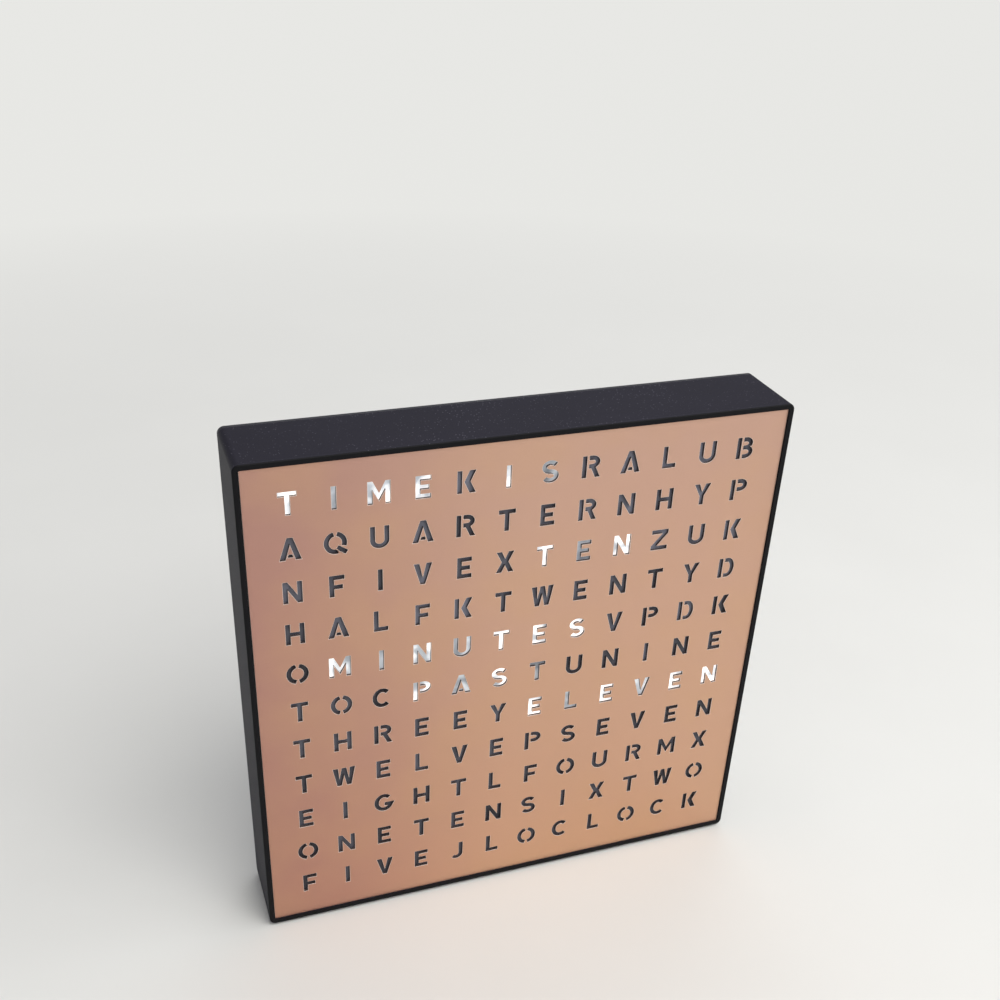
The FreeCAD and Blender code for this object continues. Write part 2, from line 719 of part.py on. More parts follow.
def make_jack_body():
    """The socket's moulded body with its round nose and blind bore."""
    y0 = control_board_back_y
    shell = block(control_x - 4.5, control_x + 4.5, y0, cover_inner_y, jack_z - 5.5, jack_z + 5.5)
    upright = [e for e in shell.Edges if abs(e.tangentAt(e.FirstParameter).y) > 0.99]
    shell = shell.makeFillet(0.8, upright)
    nose = rod_y(control_x, jack_z, jack_nose_radius, cover_inner_y - 0.5, back_y - 0.6)
    bore = rod_y(control_x, jack_z, jack_bore_radius, y0 + 0.6, back_y + 1)
    lead_in = Part.makeCone(jack_bore_radius, jack_bore_radius + 0.5, 0.5,
                            Vec(control_x, back_y - 1.1, jack_z), Vec(0, 1, 0))
    return shell.fuse(nose).cut(Part.makeCompound([bore, lead_in])).removeSplitter()


def make_jack_pin():
    y0 = control_board_back_y + 0.6
    pin = rod_y(control_x, jack_z, jack_pin_radius, y0, y0 + jack_pin_length)
    return pin.makeChamfer(0.4, edges_at_y(pin, y0 + jack_pin_length))


def tact_body(z):
    y0 = control_board_back_y
    half = tact_width / 2
    body = block(control_x - half, control_x + half, y0, tact_top_y, z - half, z + half)
    upright = [e for e in body.Edges if abs(e.tangentAt(e.FirstParameter).y) > 0.99]
    body = body.makeChamfer(0.5, upright)
    return body.cut(rod_y(control_x, z, plunger_radius + 0.3, y0 + 0.8, tact_top_y + 1))


def make_tact_switches():
    return Part.makeCompound([tact_body(z) for z in (minute_z, hour_z)])


def make_plunger(z):
    foot_y = control_board_back_y + 1.0 + button_travel
    return rod_y(control_x, z, plunger_radius, foot_y, plunger_top_y)


def make_button(z):
    """A round key: a cap that fills its hole, a flange that keeps it in, and a stem on the switch."""
    cap_top = back_y - 0.3
    outline = [(0, plunger_top_y), (2.2, plunger_top_y), (2.2, button_flange_top_y - button_flange_thickness),
               (button_flange_radius, button_flange_top_y - button_flange_thickness),
               (button_flange_radius, button_flange_top_y), (button_radius, button_flange_top_y),
               (button_radius, cap_top - 0.5), (button_radius - 0.5, cap_top), (0, cap_top)]
    points = [Vec(control_x + r, y, z) for r, y in outline]
    face = Part.Face(Part.makePolygon(points + [points[0]]))
    return face.revolve(Vec(control_x, 0, z), Vec(0, 1, 0), 360)


def make_switch_body():
    y0 = control_board_back_y
    middle = switch_z - switch_travel / 2
    body = block(control_x - 2.6, control_x + 2.6, y0, y0 + 4.0, middle - 4.4, middle + 4.4)
    slot = block(control_x - 1.4, control_x + 1.4, y0 + 1.6, y0 + 5.0,
                 switch_z - switch_travel - 1.5, switch_z + 1.5)
    return body.cut(slot)


def make_switch_knob():
    """The sliding lever, with a grooved finger end just below the back face."""
    y0 = control_board_back_y + 1.9
    top = back_y - 0.5
    stem = block(control_x - 1.1, control_x + 1.1, y0, top, switch_z - 1.2, switch_z + 1.2)
    grooves = [profile_along_x([(top + 0.1, switch_z + dz - 0.3), (top + 0.1, switch_z + dz + 0.3),
                                (top - 0.35, switch_z + dz)], control_x - 2, control_x + 2)
               for dz in (-0.6, 0.0, 0.6)]
    return stem.cut(Part.makeCompound(grooves))


# Wiring between the contacts and the boards
def tube_along(points, radius):
    """A wire that follows straight runs joined by the largest arcs they allow."""
    edges = []
    start = points[0]
    radii = []
    for before, at, after in zip(points, points[1:], points[2:]):
        back_run = before.sub(at)
        on_run = after.sub(at)
        turn = math.pi - back_run.getAngle(on_run)
        trim = 0.45 * min(back_run.Length, on_run.Length)
        radii.append(trim / math.tan(turn / 2))
        into = at.add(back_run.normalize().multiply(trim))
        out = at.add(on_run.normalize().multiply(trim))
        centre_side = back_run.add(on_run).normalize()
        middle = at.add(centre_side.multiply(radii[-1] / math.cos(turn / 2) - radii[-1]))
        edges.append(Part.makeLine(start, into))
        edges.append(Part.Arc(into, middle, out).toShape())
        start = out
    edges.append(Part.makeLine(start, points[-1]))
    path = Part.Wire(edges)
    profile = eight_sided_ring(points[0], points[1].sub(points[0]), radius)
    tube = path.makePipeShell([profile], True, False)
    print("wire radii", [round(r, 1) for r in radii], "length", round(path.Length, 1),
          "volume share", round(tube.Volume / (Part.Face(profile).Area * path.Length), 4))
    return tube


def eight_sided_ring(centre, direction, radius):
    """The section of a thin insulated wire, square to its first run."""
    across = direction.cross(Vec(0, 1, 0)).normalize()
    up = across.cross(direction).normalize()
    turns = [2 * math.pi * (n + 0.5) / 8 for n in range(8)]
    corner_points = [centre + across * (radius * math.cos(t)) + up * (radius * math.sin(t)) for t in turns]
    return Part.makePolygon(corner_points + [corner_points[0]])


def make_red_lead():
    x0 = bay_half_x + bay_wall + 2.2
    board_x = control_x - control_board_half_x + 2.0
    y0 = contact_low_y + contact_thickness + wire_radius
    solder_y = solder_side_y - wire_radius
    z0 = cell_places[2]
    points = [Vec(x0 - 1.6, y0, z0), Vec(x0 + 2.4, y0 + 0.2, z0 + 0.3), Vec(x0 + 6.0, y0 + 1.0, z0 + 3.2),
              Vec(board_x - 3.2, solder_y - 0.6, z0 + 4.6), Vec(board_x + 1.6, solder_y, z0 + 4.0)]
    return tube_along(points, wire_radius)


def make_black_lead():
    x0 = -(bay_half_x + bay_wall + 2.2)
    board_x = control_x - control_board_half_x + 2.0
    y0 = contact_low_y + contact_thickness + wire_radius
    solder_y = solder_side_y - wire_radius
    z0 = cell_places[0]
    low_z = lug_slot_low_z - 6.0
    points = [Vec(x0 + 1.6, y0, z0), Vec(x0 - 3.4, y0 + 0.3, z0 - 1.0), Vec(x0 - 4.5, 2.4, z0 - 9.5),
              Vec(x0 + 3.0, 2.6, low_z), Vec(x0 + 22.0, 3.0, low_z - 1.0), Vec(x0 + 44.0, 2.8, low_z - 0.4),
              Vec(board_x - 7.0, 2.4, low_z + 0.6), Vec(board_x - 3.2, solder_y - 0.4, low_z + 6.0),
              Vec(board_x + 1.2, solder_y, low_z + 9.0)]
    return tube_along(points, wire_radius)


def open_header(x, y0, y1, z, opens_low):
    """A small white socket with a U-shaped wall, lying on a board."""
    shell = block(x - header_length / 2, x + header_length / 2, y0, y1, z - 3.0, z + 3.0)
    inside = block(x - header_length / 2 + 0.8, x + header_length / 2 - 0.8, y0 + 0.8, y1 - 0.8,
                   z - 3.1 if opens_low else z - 2.2, z + 2.2 if opens_low else z + 3.1)
    return shell.cut(inside)


def make_headers():
    low = open_header(control_x, solder_side_y - header_height, solder_side_y, control_header_z,
                      opens_low=False)
    high = open_header(control_x, board_back_y, board_back_y + header_height, led_header_z, opens_low=True)
    return Part.makeCompound([low, high])


def make_cable_plugs():
    half = header_length / 2 - 0.9
    y_low = solder_side_y - header_height
    low = block(control_x - half, control_x + half, y_low + 0.9, y_low + header_height - 0.9,
                control_header_z - 2.1, control_header_z + 4.0)
    high = block(control_x - half, control_x + half, board_back_y + 0.9, board_back_y + header_height - 0.9,
                 led_header_z - 4.0, led_header_z + 2.1)
    return Part.makeCompound([low, high])


def make_ribbon():
    """The flat cable between the two boards: a gentle S seen from the side."""
    x0 = control_x - ribbon_width / 2
    y_low = solder_side_y - header_height / 2
    y_high = board_back_y + header_height / 2
    z_low = control_header_z + 4.0
    z_high = led_header_z - 4.0
    middle = (z_low + z_high) / 2
    sides = []
    for shift in (-ribbon_thickness / 2, ribbon_thickness / 2):
        curve = Part.BezierCurve()
        curve.setPoles([Vec(x0, y_low + shift, z_low), Vec(x0, y_low + shift, middle - 4.0 - 0.2 * shift),
                        Vec(x0, y_high + shift, middle + 4.0 - 0.2 * shift), Vec(x0, y_high + shift, z_high)])
        sides.append(curve)
    near, far = sides
    ends = [Part.makeLine(near.getPole(1), far.getPole(1)), Part.makeLine(near.getPole(4), far.getPole(4))]
    outline = Part.Wire([near.toShape(), ends[1], far.toShape(), ends[0]])
    return Part.Face(outline).extrude(Vec(ribbon_width, 0, 0))


def nodes():
    """Every piece of the clock under the name of its node."""
    return {
        "casing": make_casing(),
        "rubber_feet": make_feet(),
        "face_plate": make_face_plate(),
        "plate_tape": make_plate_tape(),
        "diffuser_sheet": make_diffuser(),
        "light_grid": make_light_grid(),
        "led_board": make_led_board(),
        "leds": make_leds(),
        "driver_chips": make_driver_chips(),
        "control_chip": make_control_chip(),
        "clock_crystal": make_crystal(),
        "board_capacitors": make_capacitors(),
        "board_screws": make_board_screws(),
        "rear_cover": make_rear_cover(),
        "cover_screws": make_cover_screws(),
        "battery_cells": make_cells(),
        "contact_negative": contact_plate(-1, 0, 0, [], tail_at=0),
        "contact_link_left": contact_plate(-1, 1, 2, [1]),
        "contact_link_right": contact_plate(1, 0, 1, [0]),
        "contact_positive": contact_plate(1, 2, 2, [2], tail_at=2),
        "contact_springs": make_springs(),
        "battery_door": make_door(),
        "control_board": make_control_board(),
        "control_board_screws": make_control_screws(),
        "dc_jack_body": make_jack_body(),
        "dc_jack_pin": make_jack_pin(),
        "tact_switches": make_tact_switches(),
        "minute_plunger": make_plunger(minute_z),
        "hour_plunger": make_plunger(hour_z),
        "minute_button": make_button(minute_z),
        "hour_button": make_button(hour_z),
        "power_switch_body": make_switch_body(),
        "power_switch_knob": make_switch_knob(),
        "battery_lead_red": make_red_lead(),
        "battery_lead_black": make_black_lead(),
        "cable_headers": make_headers(),
        "cable_plugs": make_cable_plugs(),
        "board_cable": make_ribbon(),
    }


os.makedirs("parts", exist_ok=True)
print("spring gap between turns", round(spring_gap(), 2))
for name, shape in nodes().items():
    for solid in shape.Solids:
        if not solid.isValid() or solid.Volume <= 0:
            print("bad solid in", name)
    shape.exportStep("parts/" + name + ".step")
    print(name, len(shape.Solids), "solids", round(shape.Volume / 1000, 2), "cm3")
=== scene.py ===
# %% [markdown]
# # A word clock with a copper letter plate
# The clock tells the time in words that are cut through a metal plate and lit from behind.
# The construction comes in as a fixed frame, so every size and place here is read from it.
# What is left to do is the finish: the cut letters, the light behind them, the grain of the
# moulded case and the small fasteners.

import math
import random

import bmesh
import bpy
from mathutils import Matrix, Vector


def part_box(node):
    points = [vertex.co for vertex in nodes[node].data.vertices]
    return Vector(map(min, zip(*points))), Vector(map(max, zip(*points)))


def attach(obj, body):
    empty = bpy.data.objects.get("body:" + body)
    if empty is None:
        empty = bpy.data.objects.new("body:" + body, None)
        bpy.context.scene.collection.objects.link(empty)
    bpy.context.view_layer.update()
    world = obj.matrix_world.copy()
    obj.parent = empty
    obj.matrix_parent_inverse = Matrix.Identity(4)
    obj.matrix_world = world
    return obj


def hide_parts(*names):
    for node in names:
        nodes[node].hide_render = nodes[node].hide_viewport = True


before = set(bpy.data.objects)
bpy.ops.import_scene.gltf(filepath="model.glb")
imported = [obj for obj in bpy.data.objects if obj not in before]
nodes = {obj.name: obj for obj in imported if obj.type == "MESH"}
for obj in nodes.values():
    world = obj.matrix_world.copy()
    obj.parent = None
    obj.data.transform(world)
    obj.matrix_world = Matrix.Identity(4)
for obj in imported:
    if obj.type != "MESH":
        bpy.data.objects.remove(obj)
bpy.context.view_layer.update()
scene = bpy.context.scene
MM = 0.001
plate_low, plate_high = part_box("face_plate")
plate_centre = (plate_low + plate_high) / 2


def add_object(name, data):
    """Puts new data into the scene as an object at the origin."""
    thing = bpy.data.objects.new(name, data)
    scene.collection.objects.link(thing)
    return thing


print("plate is", [round((b - a) / MM, 2) for a, b in zip(plate_low, plate_high)], "mm")

# %% [markdown]
# ## The camera
# The clock is seen from above its left shoulder, so that the face, the top and the left side
# all show. The lens is placed by an aim point, two angles, a small roll and a distance. That is
# easier to read and to correct than a matrix. The lens shift keeps the clock low in the picture,
# as a photographer does with a shift lens, and is kept small because it acts in other views too.

# %% Place the camera
view_azimuth = math.radians(-20.79)
view_elevation = math.radians(32.03)
view_roll = math.radians(2.63)
view_distance = 0.4321
aim_point = Vector((-0.0033, 0.0, 0.1201))
focal_share = 1.2151
sensor_width = 36.0
lens_shift = 0.1
nearest_seen = 0.01


def place_camera():
    """A camera that looks at the aim point from the given angles."""
    back = Vector((math.sin(view_azimuth) * math.cos(view_elevation),
                   -math.cos(view_azimuth) * math.cos(view_elevation), math.sin(view_elevation)))
    right = Vector((0, 0, 1)).cross(back).normalized()
    up = back.cross(right)
    turned_right = right * math.cos(view_roll) + up * math.sin(view_roll)
    turned_up = up * math.cos(view_roll) - right * math.sin(view_roll)
    lens = bpy.data.cameras.new("camera")
    lens.sensor_width = sensor_width
    lens.lens = sensor_width * focal_share
    lens.shift_y = lens_shift
    lens.clip_start = nearest_seen
    camera = add_object("camera", lens)
    camera.matrix_world = Matrix((turned_right, turned_up, back)).transposed().to_4x4()
    camera.matrix_world.translation = aim_point + back * view_distance
    return camera


scene.camera = place_camera()
scene.view_settings.view_transform = "Standard"
print("camera at", [round(v, 3) for v in scene.camera.matrix_world.translation])

# %% [markdown]
# ## Floor and light
# Satin metal shows what is around it more than its own colour. A pale floor and a pale sky give
# the copper something even to reflect, and three large soft lamps round the black case off. Large
# lamps are used instead of small ones because their shadows have no hard edge. Far from the clock
# the floor fades to the colour of the sky, so that no horizon cuts the picture.


# %% Helpers for node trees
def add_node(tree, kind, inputs=None, **settings):
    """Adds a node, sets its properties, then sets or links its inputs by name."""
    node = tree.nodes.new(kind)
    for name, value in settings.items():
        setattr(node, name, value)
    for name, value in (inputs or {}).items():
        if isinstance(value, bpy.types.NodeSocket):
            tree.links.new(value, node.inputs[name])
        else:
            node.inputs[name].default_value = value
    return node


def add_math(tree, operation, first, second=0.0, third=0.0, clamp=False):
    """One step of arithmetic on sockets or numbers."""
    return add_node(tree, "ShaderNodeMath", {0: first, 1: second, 2: third}, operation=operation,
                    use_clamp=clamp).outputs[0]


def find_socket(sockets, *identifiers):
    """A socket by its identifier, for nodes where several share one name."""
    return next(s for s in sockets if s.identifier in identifiers)


def mix_colours(tree, share, first, second):
    """A colour between two others, by a share from 0 to 1."""
    node = tree.nodes.new("ShaderNodeMix")
    node.data_type = "RGBA"
    for socket, value in (("Factor_Float", share), ("A_Color", first), ("B_Color", second)):
        target = find_socket(node.inputs, socket)
        if isinstance(value, bpy.types.NodeSocket):
            tree.links.new(value, target)
        else:
            target.default_value = value
    return find_socket(node.outputs, "Result_Color")


def object_place(tree):
    return add_node(tree, "ShaderNodeTexCoord").outputs["Object"]


def noise(tree, scale, detail, roughness=0.5):
    """A cloud over the whole piece, with values round one half."""
    return add_node(tree, "ShaderNodeTexNoise", {"Vector": object_place(tree), "Scale": scale, "Detail": detail,
                                                 "Roughness": roughness}).outputs["Fac"]


def map_range(tree, value, low, high, to_low=0.0, to_high=1.0, **settings):
    """Spreads the part of a value between two limits over another range."""
    return add_node(tree, "ShaderNodeMapRange", {"Value": value, "From Min": low, "From Max": high,
                                                 "To Min": to_low, "To Max": to_high}, **settings).outputs["Result"]


def rgb(red, green, blue):
    """A linear colour with full opacity."""
    return (red, green, blue, 1.0)


def grey(level):
    return rgb(level, level, level)


def new_material(name):
    """A new material, with its node tree and its shader."""
    material = bpy.data.materials.new(name)
    material.use_nodes = True
    return material, material.node_tree, material.node_tree.nodes["Principled BSDF"]


def add_bump(tree, shader, height, strength, distance):
    raised = add_node(tree, "ShaderNodeBump", {"Height": height, "Strength": strength, "Distance": distance})
    tree.links.new(raised.outputs["Normal"], shader.inputs["Normal"])


# %% Lay the floor and hang the lamps
far_pale = rgb(0.79, 0.79, 0.765)
floor_radius = 12.0
fade_start = 0.25
fade_end = 1.0
lamp_aim = Vector((0, 0, 0.1))


def lay_floor():
    """A mottled floor that fades into the sky's colour, for the eye only: it lights as it is."""
    floor_material, tree, shader = new_material("pale_floor")
    colour = mix_colours(tree, noise(tree, 9.0, 3.0), rgb(0.645, 0.64, 0.61), rgb(0.69, 0.685, 0.655))
    reach = add_node(tree, "ShaderNodeVectorMath", {0: object_place(tree)}, operation="LENGTH").outputs["Value"]
    far = map_range(tree, reach, fade_start, fade_end)
    rays = add_node(tree, "ShaderNodeLightPath")
    seen = add_math(tree, "MAXIMUM", rays.outputs["Is Camera Ray"], rays.outputs["Is Glossy Ray"])
    seen = add_math(tree, "MAXIMUM", seen, rays.outputs["Is Transmission Ray"])
    hazy = add_math(tree, "MULTIPLY", far, seen)
    tree.links.new(mix_colours(tree, hazy, colour, grey(0)), shader.inputs["Base Color"])
    tree.links.new(mix_colours(tree, hazy, grey(0), far_pale), shader.inputs["Emission Color"])
    shader.inputs["Emission Strength"].default_value = 1.0
    shader.inputs["Specular IOR Level"].default_value = 0.1
    shader.inputs["Roughness"].default_value = 0.8
    bpy.ops.mesh.primitive_circle_add(vertices=96, radius=floor_radius, fill_type="NGON")
    floor = bpy.context.object
    floor.name = "floor"
    floor.data.materials.append(floor_material)


def hang_lamp(name, place, size, power, colour):
    """A square lamp that points at the middle of the clock."""
    lamp = bpy.data.lights.new(name, "AREA")
    lamp.shape = "SQUARE"
    lamp.size = size
    lamp.energy = power
    lamp.color = colour
    holder = add_object(name, lamp)
    holder.location = place
    holder.rotation_euler = (lamp_aim - Vector(place)).to_track_quat("-Z", "Y").to_euler()


def fill_sky():
    world = bpy.data.worlds.new("sky")
    scene.world = world
    world.use_nodes = True
    tree = world.node_tree
    tree.nodes.clear()
    rays = add_node(tree, "ShaderNodeLightPath")
    seen = add_math(tree, "MAXIMUM", rays.outputs["Is Camera Ray"], rays.outputs["Is Transmission Ray"])
    colour = mix_colours(tree, seen, rgb(0.40, 0.405, 0.43), far_pale)
    sky = add_node(tree, "ShaderNodeBackground", {"Color": colour, "Strength": 1.0})
    add_node(tree, "ShaderNodeOutputWorld", {"Surface": sky.outputs[0]})


lay_floor()
hang_lamp("window_lamp", (0.35, -1.0, 1.5), 1.2, 25.0, (1.0, 0.99, 0.97))
hang_lamp("right_fill", (1.4, -0.4, 0.9), 1.0, 10.0, (0.97, 0.98, 1.0))
hang_lamp("back_lamp", (0.5, 1.1, 1.9), 1.2, 10.0, (0.98, 0.99, 1.0))
fill_sky()
print("lamps:", len(bpy.data.lights))

# %% [markdown]
# ## Effects that several finishes share
# Moulded plastic, sprayed metal and rubber all have a fine grain, and all catch a little dust and
# rub pale along their edges. Each of these effects is made once, as a node group with named
# inputs, and every material sets its own scale and strength. A group gives out only a mask or a
# height, so that it can be baked.


# %% Build the shared groups
def start_group(name, inputs, outputs):
    """An empty shader group with float inputs (name, default) and float outputs."""
    group = bpy.data.node_groups.new(name, "ShaderNodeTree")
    for label, default in inputs:
        socket = group.interface.new_socket(name=label, in_out="INPUT", socket_type="NodeSocketFloat")
        socket.default_value = default
    for label in outputs:
        group.interface.new_socket(name=label, in_out="OUTPUT", socket_type="NodeSocketFloat")
    return group, add_node(group, "NodeGroupInput"), add_node(group, "NodeGroupOutput")


def build_grain():
    """Fine grain: a height for the bump, and a tone that wanders slowly over the surface."""
    group, given, result = start_group("surface_grain", [("Scale", 2500.0), ("Tone Scale", 30.0)],
                                       ["Height", "Tone"])
    group.links.new(noise(group, given.outputs["Scale"], 2.0), result.inputs["Height"])
    group.links.new(noise(group, given.outputs["Tone Scale"], 4.0, 0.6), result.inputs["Tone"])
    return group


def build_specks():
    """Small bright specks of dust, scattered thinly, and more of them where a face looks up."""
    group, given, result = start_group("dust_specks", [("Scale", 900.0), ("Amount", 0.1)], ["Mask"])
    cells = add_node(group, "ShaderNodeTexVoronoi", {"Vector": object_place(group),
                                                     "Scale": given.outputs["Scale"]})
    facing = add_node(group, "ShaderNodeSeparateXYZ",
                      {0: add_node(group, "ShaderNodeNewGeometry").outputs["Normal"]}).outputs["Z"]
    lying = add_math(group, "MULTIPLY_ADD", facing, 0.5, 0.6)
    radius = add_math(group, "MULTIPLY", add_math(group, "MULTIPLY", given.outputs["Amount"], lying),
                      noise(group, 60.0, 2.0))
    inside = add_math(group, "LESS_THAN", cells.outputs["Distance"], radius)
    group.links.new(inside, result.inputs["Mask"])
    return group


def build_edge_wear():
    """A mask that is bright along outer edges, found by rounding the normals and comparing."""
    group, given, result = start_group("edge_wear", [("Width", 0.0006), ("Strength", 3.0)], ["Mask"])
    rounded = add_node(group, "ShaderNodeBevel", {"Radius": given.outputs["Width"]}, samples=4).outputs["Normal"]
    true = add_node(group, "ShaderNodeNewGeometry").outputs["True Normal"]
    agree = add_node(group, "ShaderNodeVectorMath", {0: rounded, 1: true}, operation="DOT_PRODUCT").outputs["Value"]
    bent = add_math(group, "SUBTRACT", 1.0, agree)
    mask = add_math(group, "MULTIPLY", add_math(group, "MULTIPLY", bent, given.outputs["Strength"]),
                    noise(group, 220.0, 3.0), clamp=True)
    group.links.new(mask, result.inputs["Mask"])
    return group


grain_group = build_grain()
speck_group = build_specks()
wear_group = build_edge_wear()
print("shared groups:", [g.name for g in (grain_group, speck_group, wear_group)])

# %% [markdown]
# ## One function for every solid finish
# Each finish on this clock has a main colour, a second tone that it wanders to, a roughness, a
# grain and some dust and wear. Writing that once keeps the materials alike in quality and lets
# each one be a single readable line of values. A number that is the same all over stays on the
# shader's own socket, because only then does the exported model keep it.


# %% Make the finishes
dust_colour = rgb(0.11, 0.105, 0.13)
# Painted shade: the front of the case's rim is painted this deep black.
rim_shade_colour = rgb(0.003, 0.003, 0.004)
rim_shade_depth = 0.3 * MM


def use_group(tree, group, **values):
    """Adds a shared group and sets its inputs, with _ for a space in a name."""
    node = tree.nodes.new("ShaderNodeGroup")
    node.node_tree = group
    for name, value in values.items():
        node.inputs[name.replace("_", " ")].default_value = value
    return node


def make_finish(name, main, second, roughness, metallic=0.0, grain=2500.0, bump=0.15, bump_depth=0.00002,
                tone_scale=30.0, dust=0.0, wear=0.0, wear_colour=rgb(0.2, 0.2, 0.21), coat=0.0, shine=0.5,
                rim=None):
    """A procedural finish: two tones, a grain in the bump and the gloss, dust and rubbed edges.

    In front of the plane y = rim the colour is painted a deep black, as painted shade on the rim of the face.
    """
    material, tree, shader = new_material(name)
    shader.inputs["Metallic"].default_value = metallic
    shader.inputs["Coat Weight"].default_value = coat
    shader.inputs["Coat Roughness"].default_value = 0.2
    shader.inputs["Specular IOR Level"].default_value = shine
    surface = use_group(tree, grain_group, Scale=grain, Tone_Scale=tone_scale)
    colour = mix_colours(tree, surface.outputs["Tone"], main, second)
    if wear:
        worn = use_group(tree, wear_group, Strength=wear)
        colour = mix_colours(tree, worn.outputs["Mask"], colour, wear_colour)
    if dust:
        specks = use_group(tree, speck_group, Amount=dust)
        colour = mix_colours(tree, specks.outputs["Mask"], colour, dust_colour)
    # Painted shade: a deep black in front of the plane y = rim.
    if rim is not None:
        depth = add_node(tree, "ShaderNodeSeparateXYZ", {0: object_place(tree)}).outputs["Y"]
        colour = mix_colours(tree, add_math(tree, "LESS_THAN", depth, rim), colour, rim_shade_colour)
    tree.links.new(colour, shader.inputs["Base Color"])
    gloss = add_math(tree, "MULTIPLY_ADD", surface.outputs["Height"], 0.12, roughness - 0.06)
    tree.links.new(gloss, shader.inputs["Roughness"])
    add_bump(tree, shader, surface.outputs["Height"], bump, bump_depth)
    return material


# The case's rim carries the painted shade in front of its face.
case_black = make_finish("case_black", rgb(0.0075, 0.0065, 0.0125), rgb(0.013, 0.0115, 0.0205), 0.58, grain=2200.0,
                         bump=0.5, bump_depth=0.00004, dust=0.21, wear=1.6, wear_colour=rgb(0.07, 0.07, 0.085),
                         shine=0.15, rim=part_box("casing")[0].y + rim_shade_depth)
cover_black = make_finish("cover_black", rgb(0.012, 0.011, 0.016), rgb(0.019, 0.018, 0.025), 0.5, grain=1500.0,
                          bump=0.7, bump_depth=0.00006, dust=0.2, wear=2.4, wear_colour=rgb(0.10, 0.10, 0.115),
                          shine=0.3)
button_grey = make_finish("button_grey", rgb(0.052, 0.052, 0.056), rgb(0.072, 0.072, 0.077), 0.42, bump=0.3,
                          wear=2.0, wear_colour=grey(0.2))
foot_rubber = make_finish("foot_rubber", grey(0.016), grey(0.03), 0.8, grain=1200.0,
                          bump=0.6, bump_depth=0.00008, dust=0.4)
grid_black = make_finish("grid_black", grey(0.02), grey(0.03), 0.7, bump=0.4)
chip_black = make_finish("chip_black", rgb(0.018, 0.018, 0.02), rgb(0.03, 0.03, 0.032), 0.6, bump=0.4)
jack_black = make_finish("jack_black", grey(0.012), grey(0.02), 0.3, bump=0.15)
nickel = make_finish("nickel", rgb(0.66, 0.64, 0.60), rgb(0.74, 0.72, 0.68), 0.28, metallic=1.0, grain=900.0,
                     bump=0.2)
zinc = make_finish("zinc", rgb(0.58, 0.58, 0.57), rgb(0.68, 0.68, 0.66), 0.35, metallic=1.0, grain=1400.0, bump=0.3)
black_screw = make_finish("black_screw", rgb(0.05, 0.05, 0.055), rgb(0.08, 0.08, 0.085), 0.38, metallic=1.0,
                          grain=1600.0, bump=0.4, wear=3.0, wear_colour=rgb(0.35, 0.34, 0.33))
board_green = make_finish("board_green", rgb(0.008, 0.085, 0.035), rgb(0.014, 0.12, 0.05), 0.3, bump=0.2, coat=0.4)
lamp_white = make_finish("lamp_white", rgb(0.75, 0.73, 0.66), rgb(0.82, 0.80, 0.72), 0.5)
can_sleeve = make_finish("can_sleeve", rgb(0.11, 0.115, 0.13), rgb(0.14, 0.145, 0.16), 0.3, grain=700.0, bump=0.1,
                         coat=0.5)
wire_red = make_finish("wire_red", rgb(0.42, 0.015, 0.012), rgb(0.5, 0.02, 0.016), 0.4)
wire_black = make_finish("wire_black", grey(0.014), grey(0.02), 0.4)
cable_grey = make_finish("cable_grey", grey(0.28), grey(0.34), 0.5)
header_white = make_finish("header_white", rgb(0.68, 0.65, 0.56), rgb(0.75, 0.72, 0.64), 0.5)
foam_tape = make_finish("foam_tape", grey(0.02), grey(0.035), 0.9, grain=900.0, bump=0.8)

nodes_of_finish = [
    (case_black, "casing"), (cover_black, "rear_cover battery_door"), (foot_rubber, "rubber_feet"),
    (button_grey, "minute_button hour_button power_switch_knob"), (foam_tape, "plate_tape"),
    (grid_black, "light_grid"), (board_green, "led_board control_board"), (lamp_white, "leds"),
    (chip_black, "driver_chips control_chip tact_switches minute_plunger hour_plunger"),
    (nickel, "clock_crystal contact_negative contact_positive contact_link_left contact_link_right"),
    (nickel, "contact_springs dc_jack_pin power_switch_body"), (can_sleeve, "board_capacitors battery_cells"),
    (zinc, "board_screws control_board_screws"), (jack_black, "dc_jack_body"), (wire_red, "battery_lead_red"),
    (wire_black, "battery_lead_black"), (header_white, "cable_headers cable_plugs"), (cable_grey, "board_cable"),
]
for finish, names in nodes_of_finish:
    for name in names.split():
        nodes[name].data.materials.clear()
        nodes[name].data.materials.append(finish)
print("finished nodes:", sum(len(names.split()) for finish, names in nodes_of_finish))

# %% [markdown]
# ## Letters for a stencil
# A letter that is cut through a plate needs bridges, or its middle would fall out. So the closed
# letters are drawn in two or three parts: an O is two arcs, and a P has a gap between its stem
# and its bowl. A font would have to be broken open by hand, so the letters are drawn here from
# bars, slanted strokes and arcs of one width. Each part is an outline in millimetres that starts
# at the letter's lower left corner, and the parts of one letter never overlap.

# %% Draw the parts of a letter
cap_height = 7.9
stroke = 1.55
bridge = 0.8
half = stroke / 2
widths = {"A": 7.0, "C": 6.8, "E": 5.0, "F": 5.0, "G": 7.0, "I": stroke, "J": 4.6, "L": 4.8, "M": 7.3,
          "O": 7.4, "Q": 7.4, "S": 5.8, "T": 5.8, "W": 8.0}
usual_width = 6.2


def arc(x, z, across, up, start, end, steps=12):
    """Points along an ellipse, from one angle to another in degrees."""
    turns = [math.radians(start + (end - start) * n / steps) for n in range(steps + 1)]
    return [(x + across * math.cos(t), z + up * math.sin(t)) for t in turns]


def band(path, width=stroke):
    """The outline of a stroke of even width that follows a path."""
    left, right = [], []
    last = len(path) - 1
    for n, (x, z) in enumerate(path):
        arriving = Vector(path[max(n, 1)]) - Vector(path[max(n, 1) - 1])
        leaving = Vector(path[min(n, last - 1) + 1]) - Vector(path[min(n, last - 1)])
        a = arriving.normalized().orthogonal()
        b = leaving.normalized().orthogonal()
        offset = (a + b) / (1 + a.dot(b)) * width / 2
        left.append((x + offset.x, z + offset.y))
        right.append((x - offset.x, z - offset.y))
    return left + right[::-1]


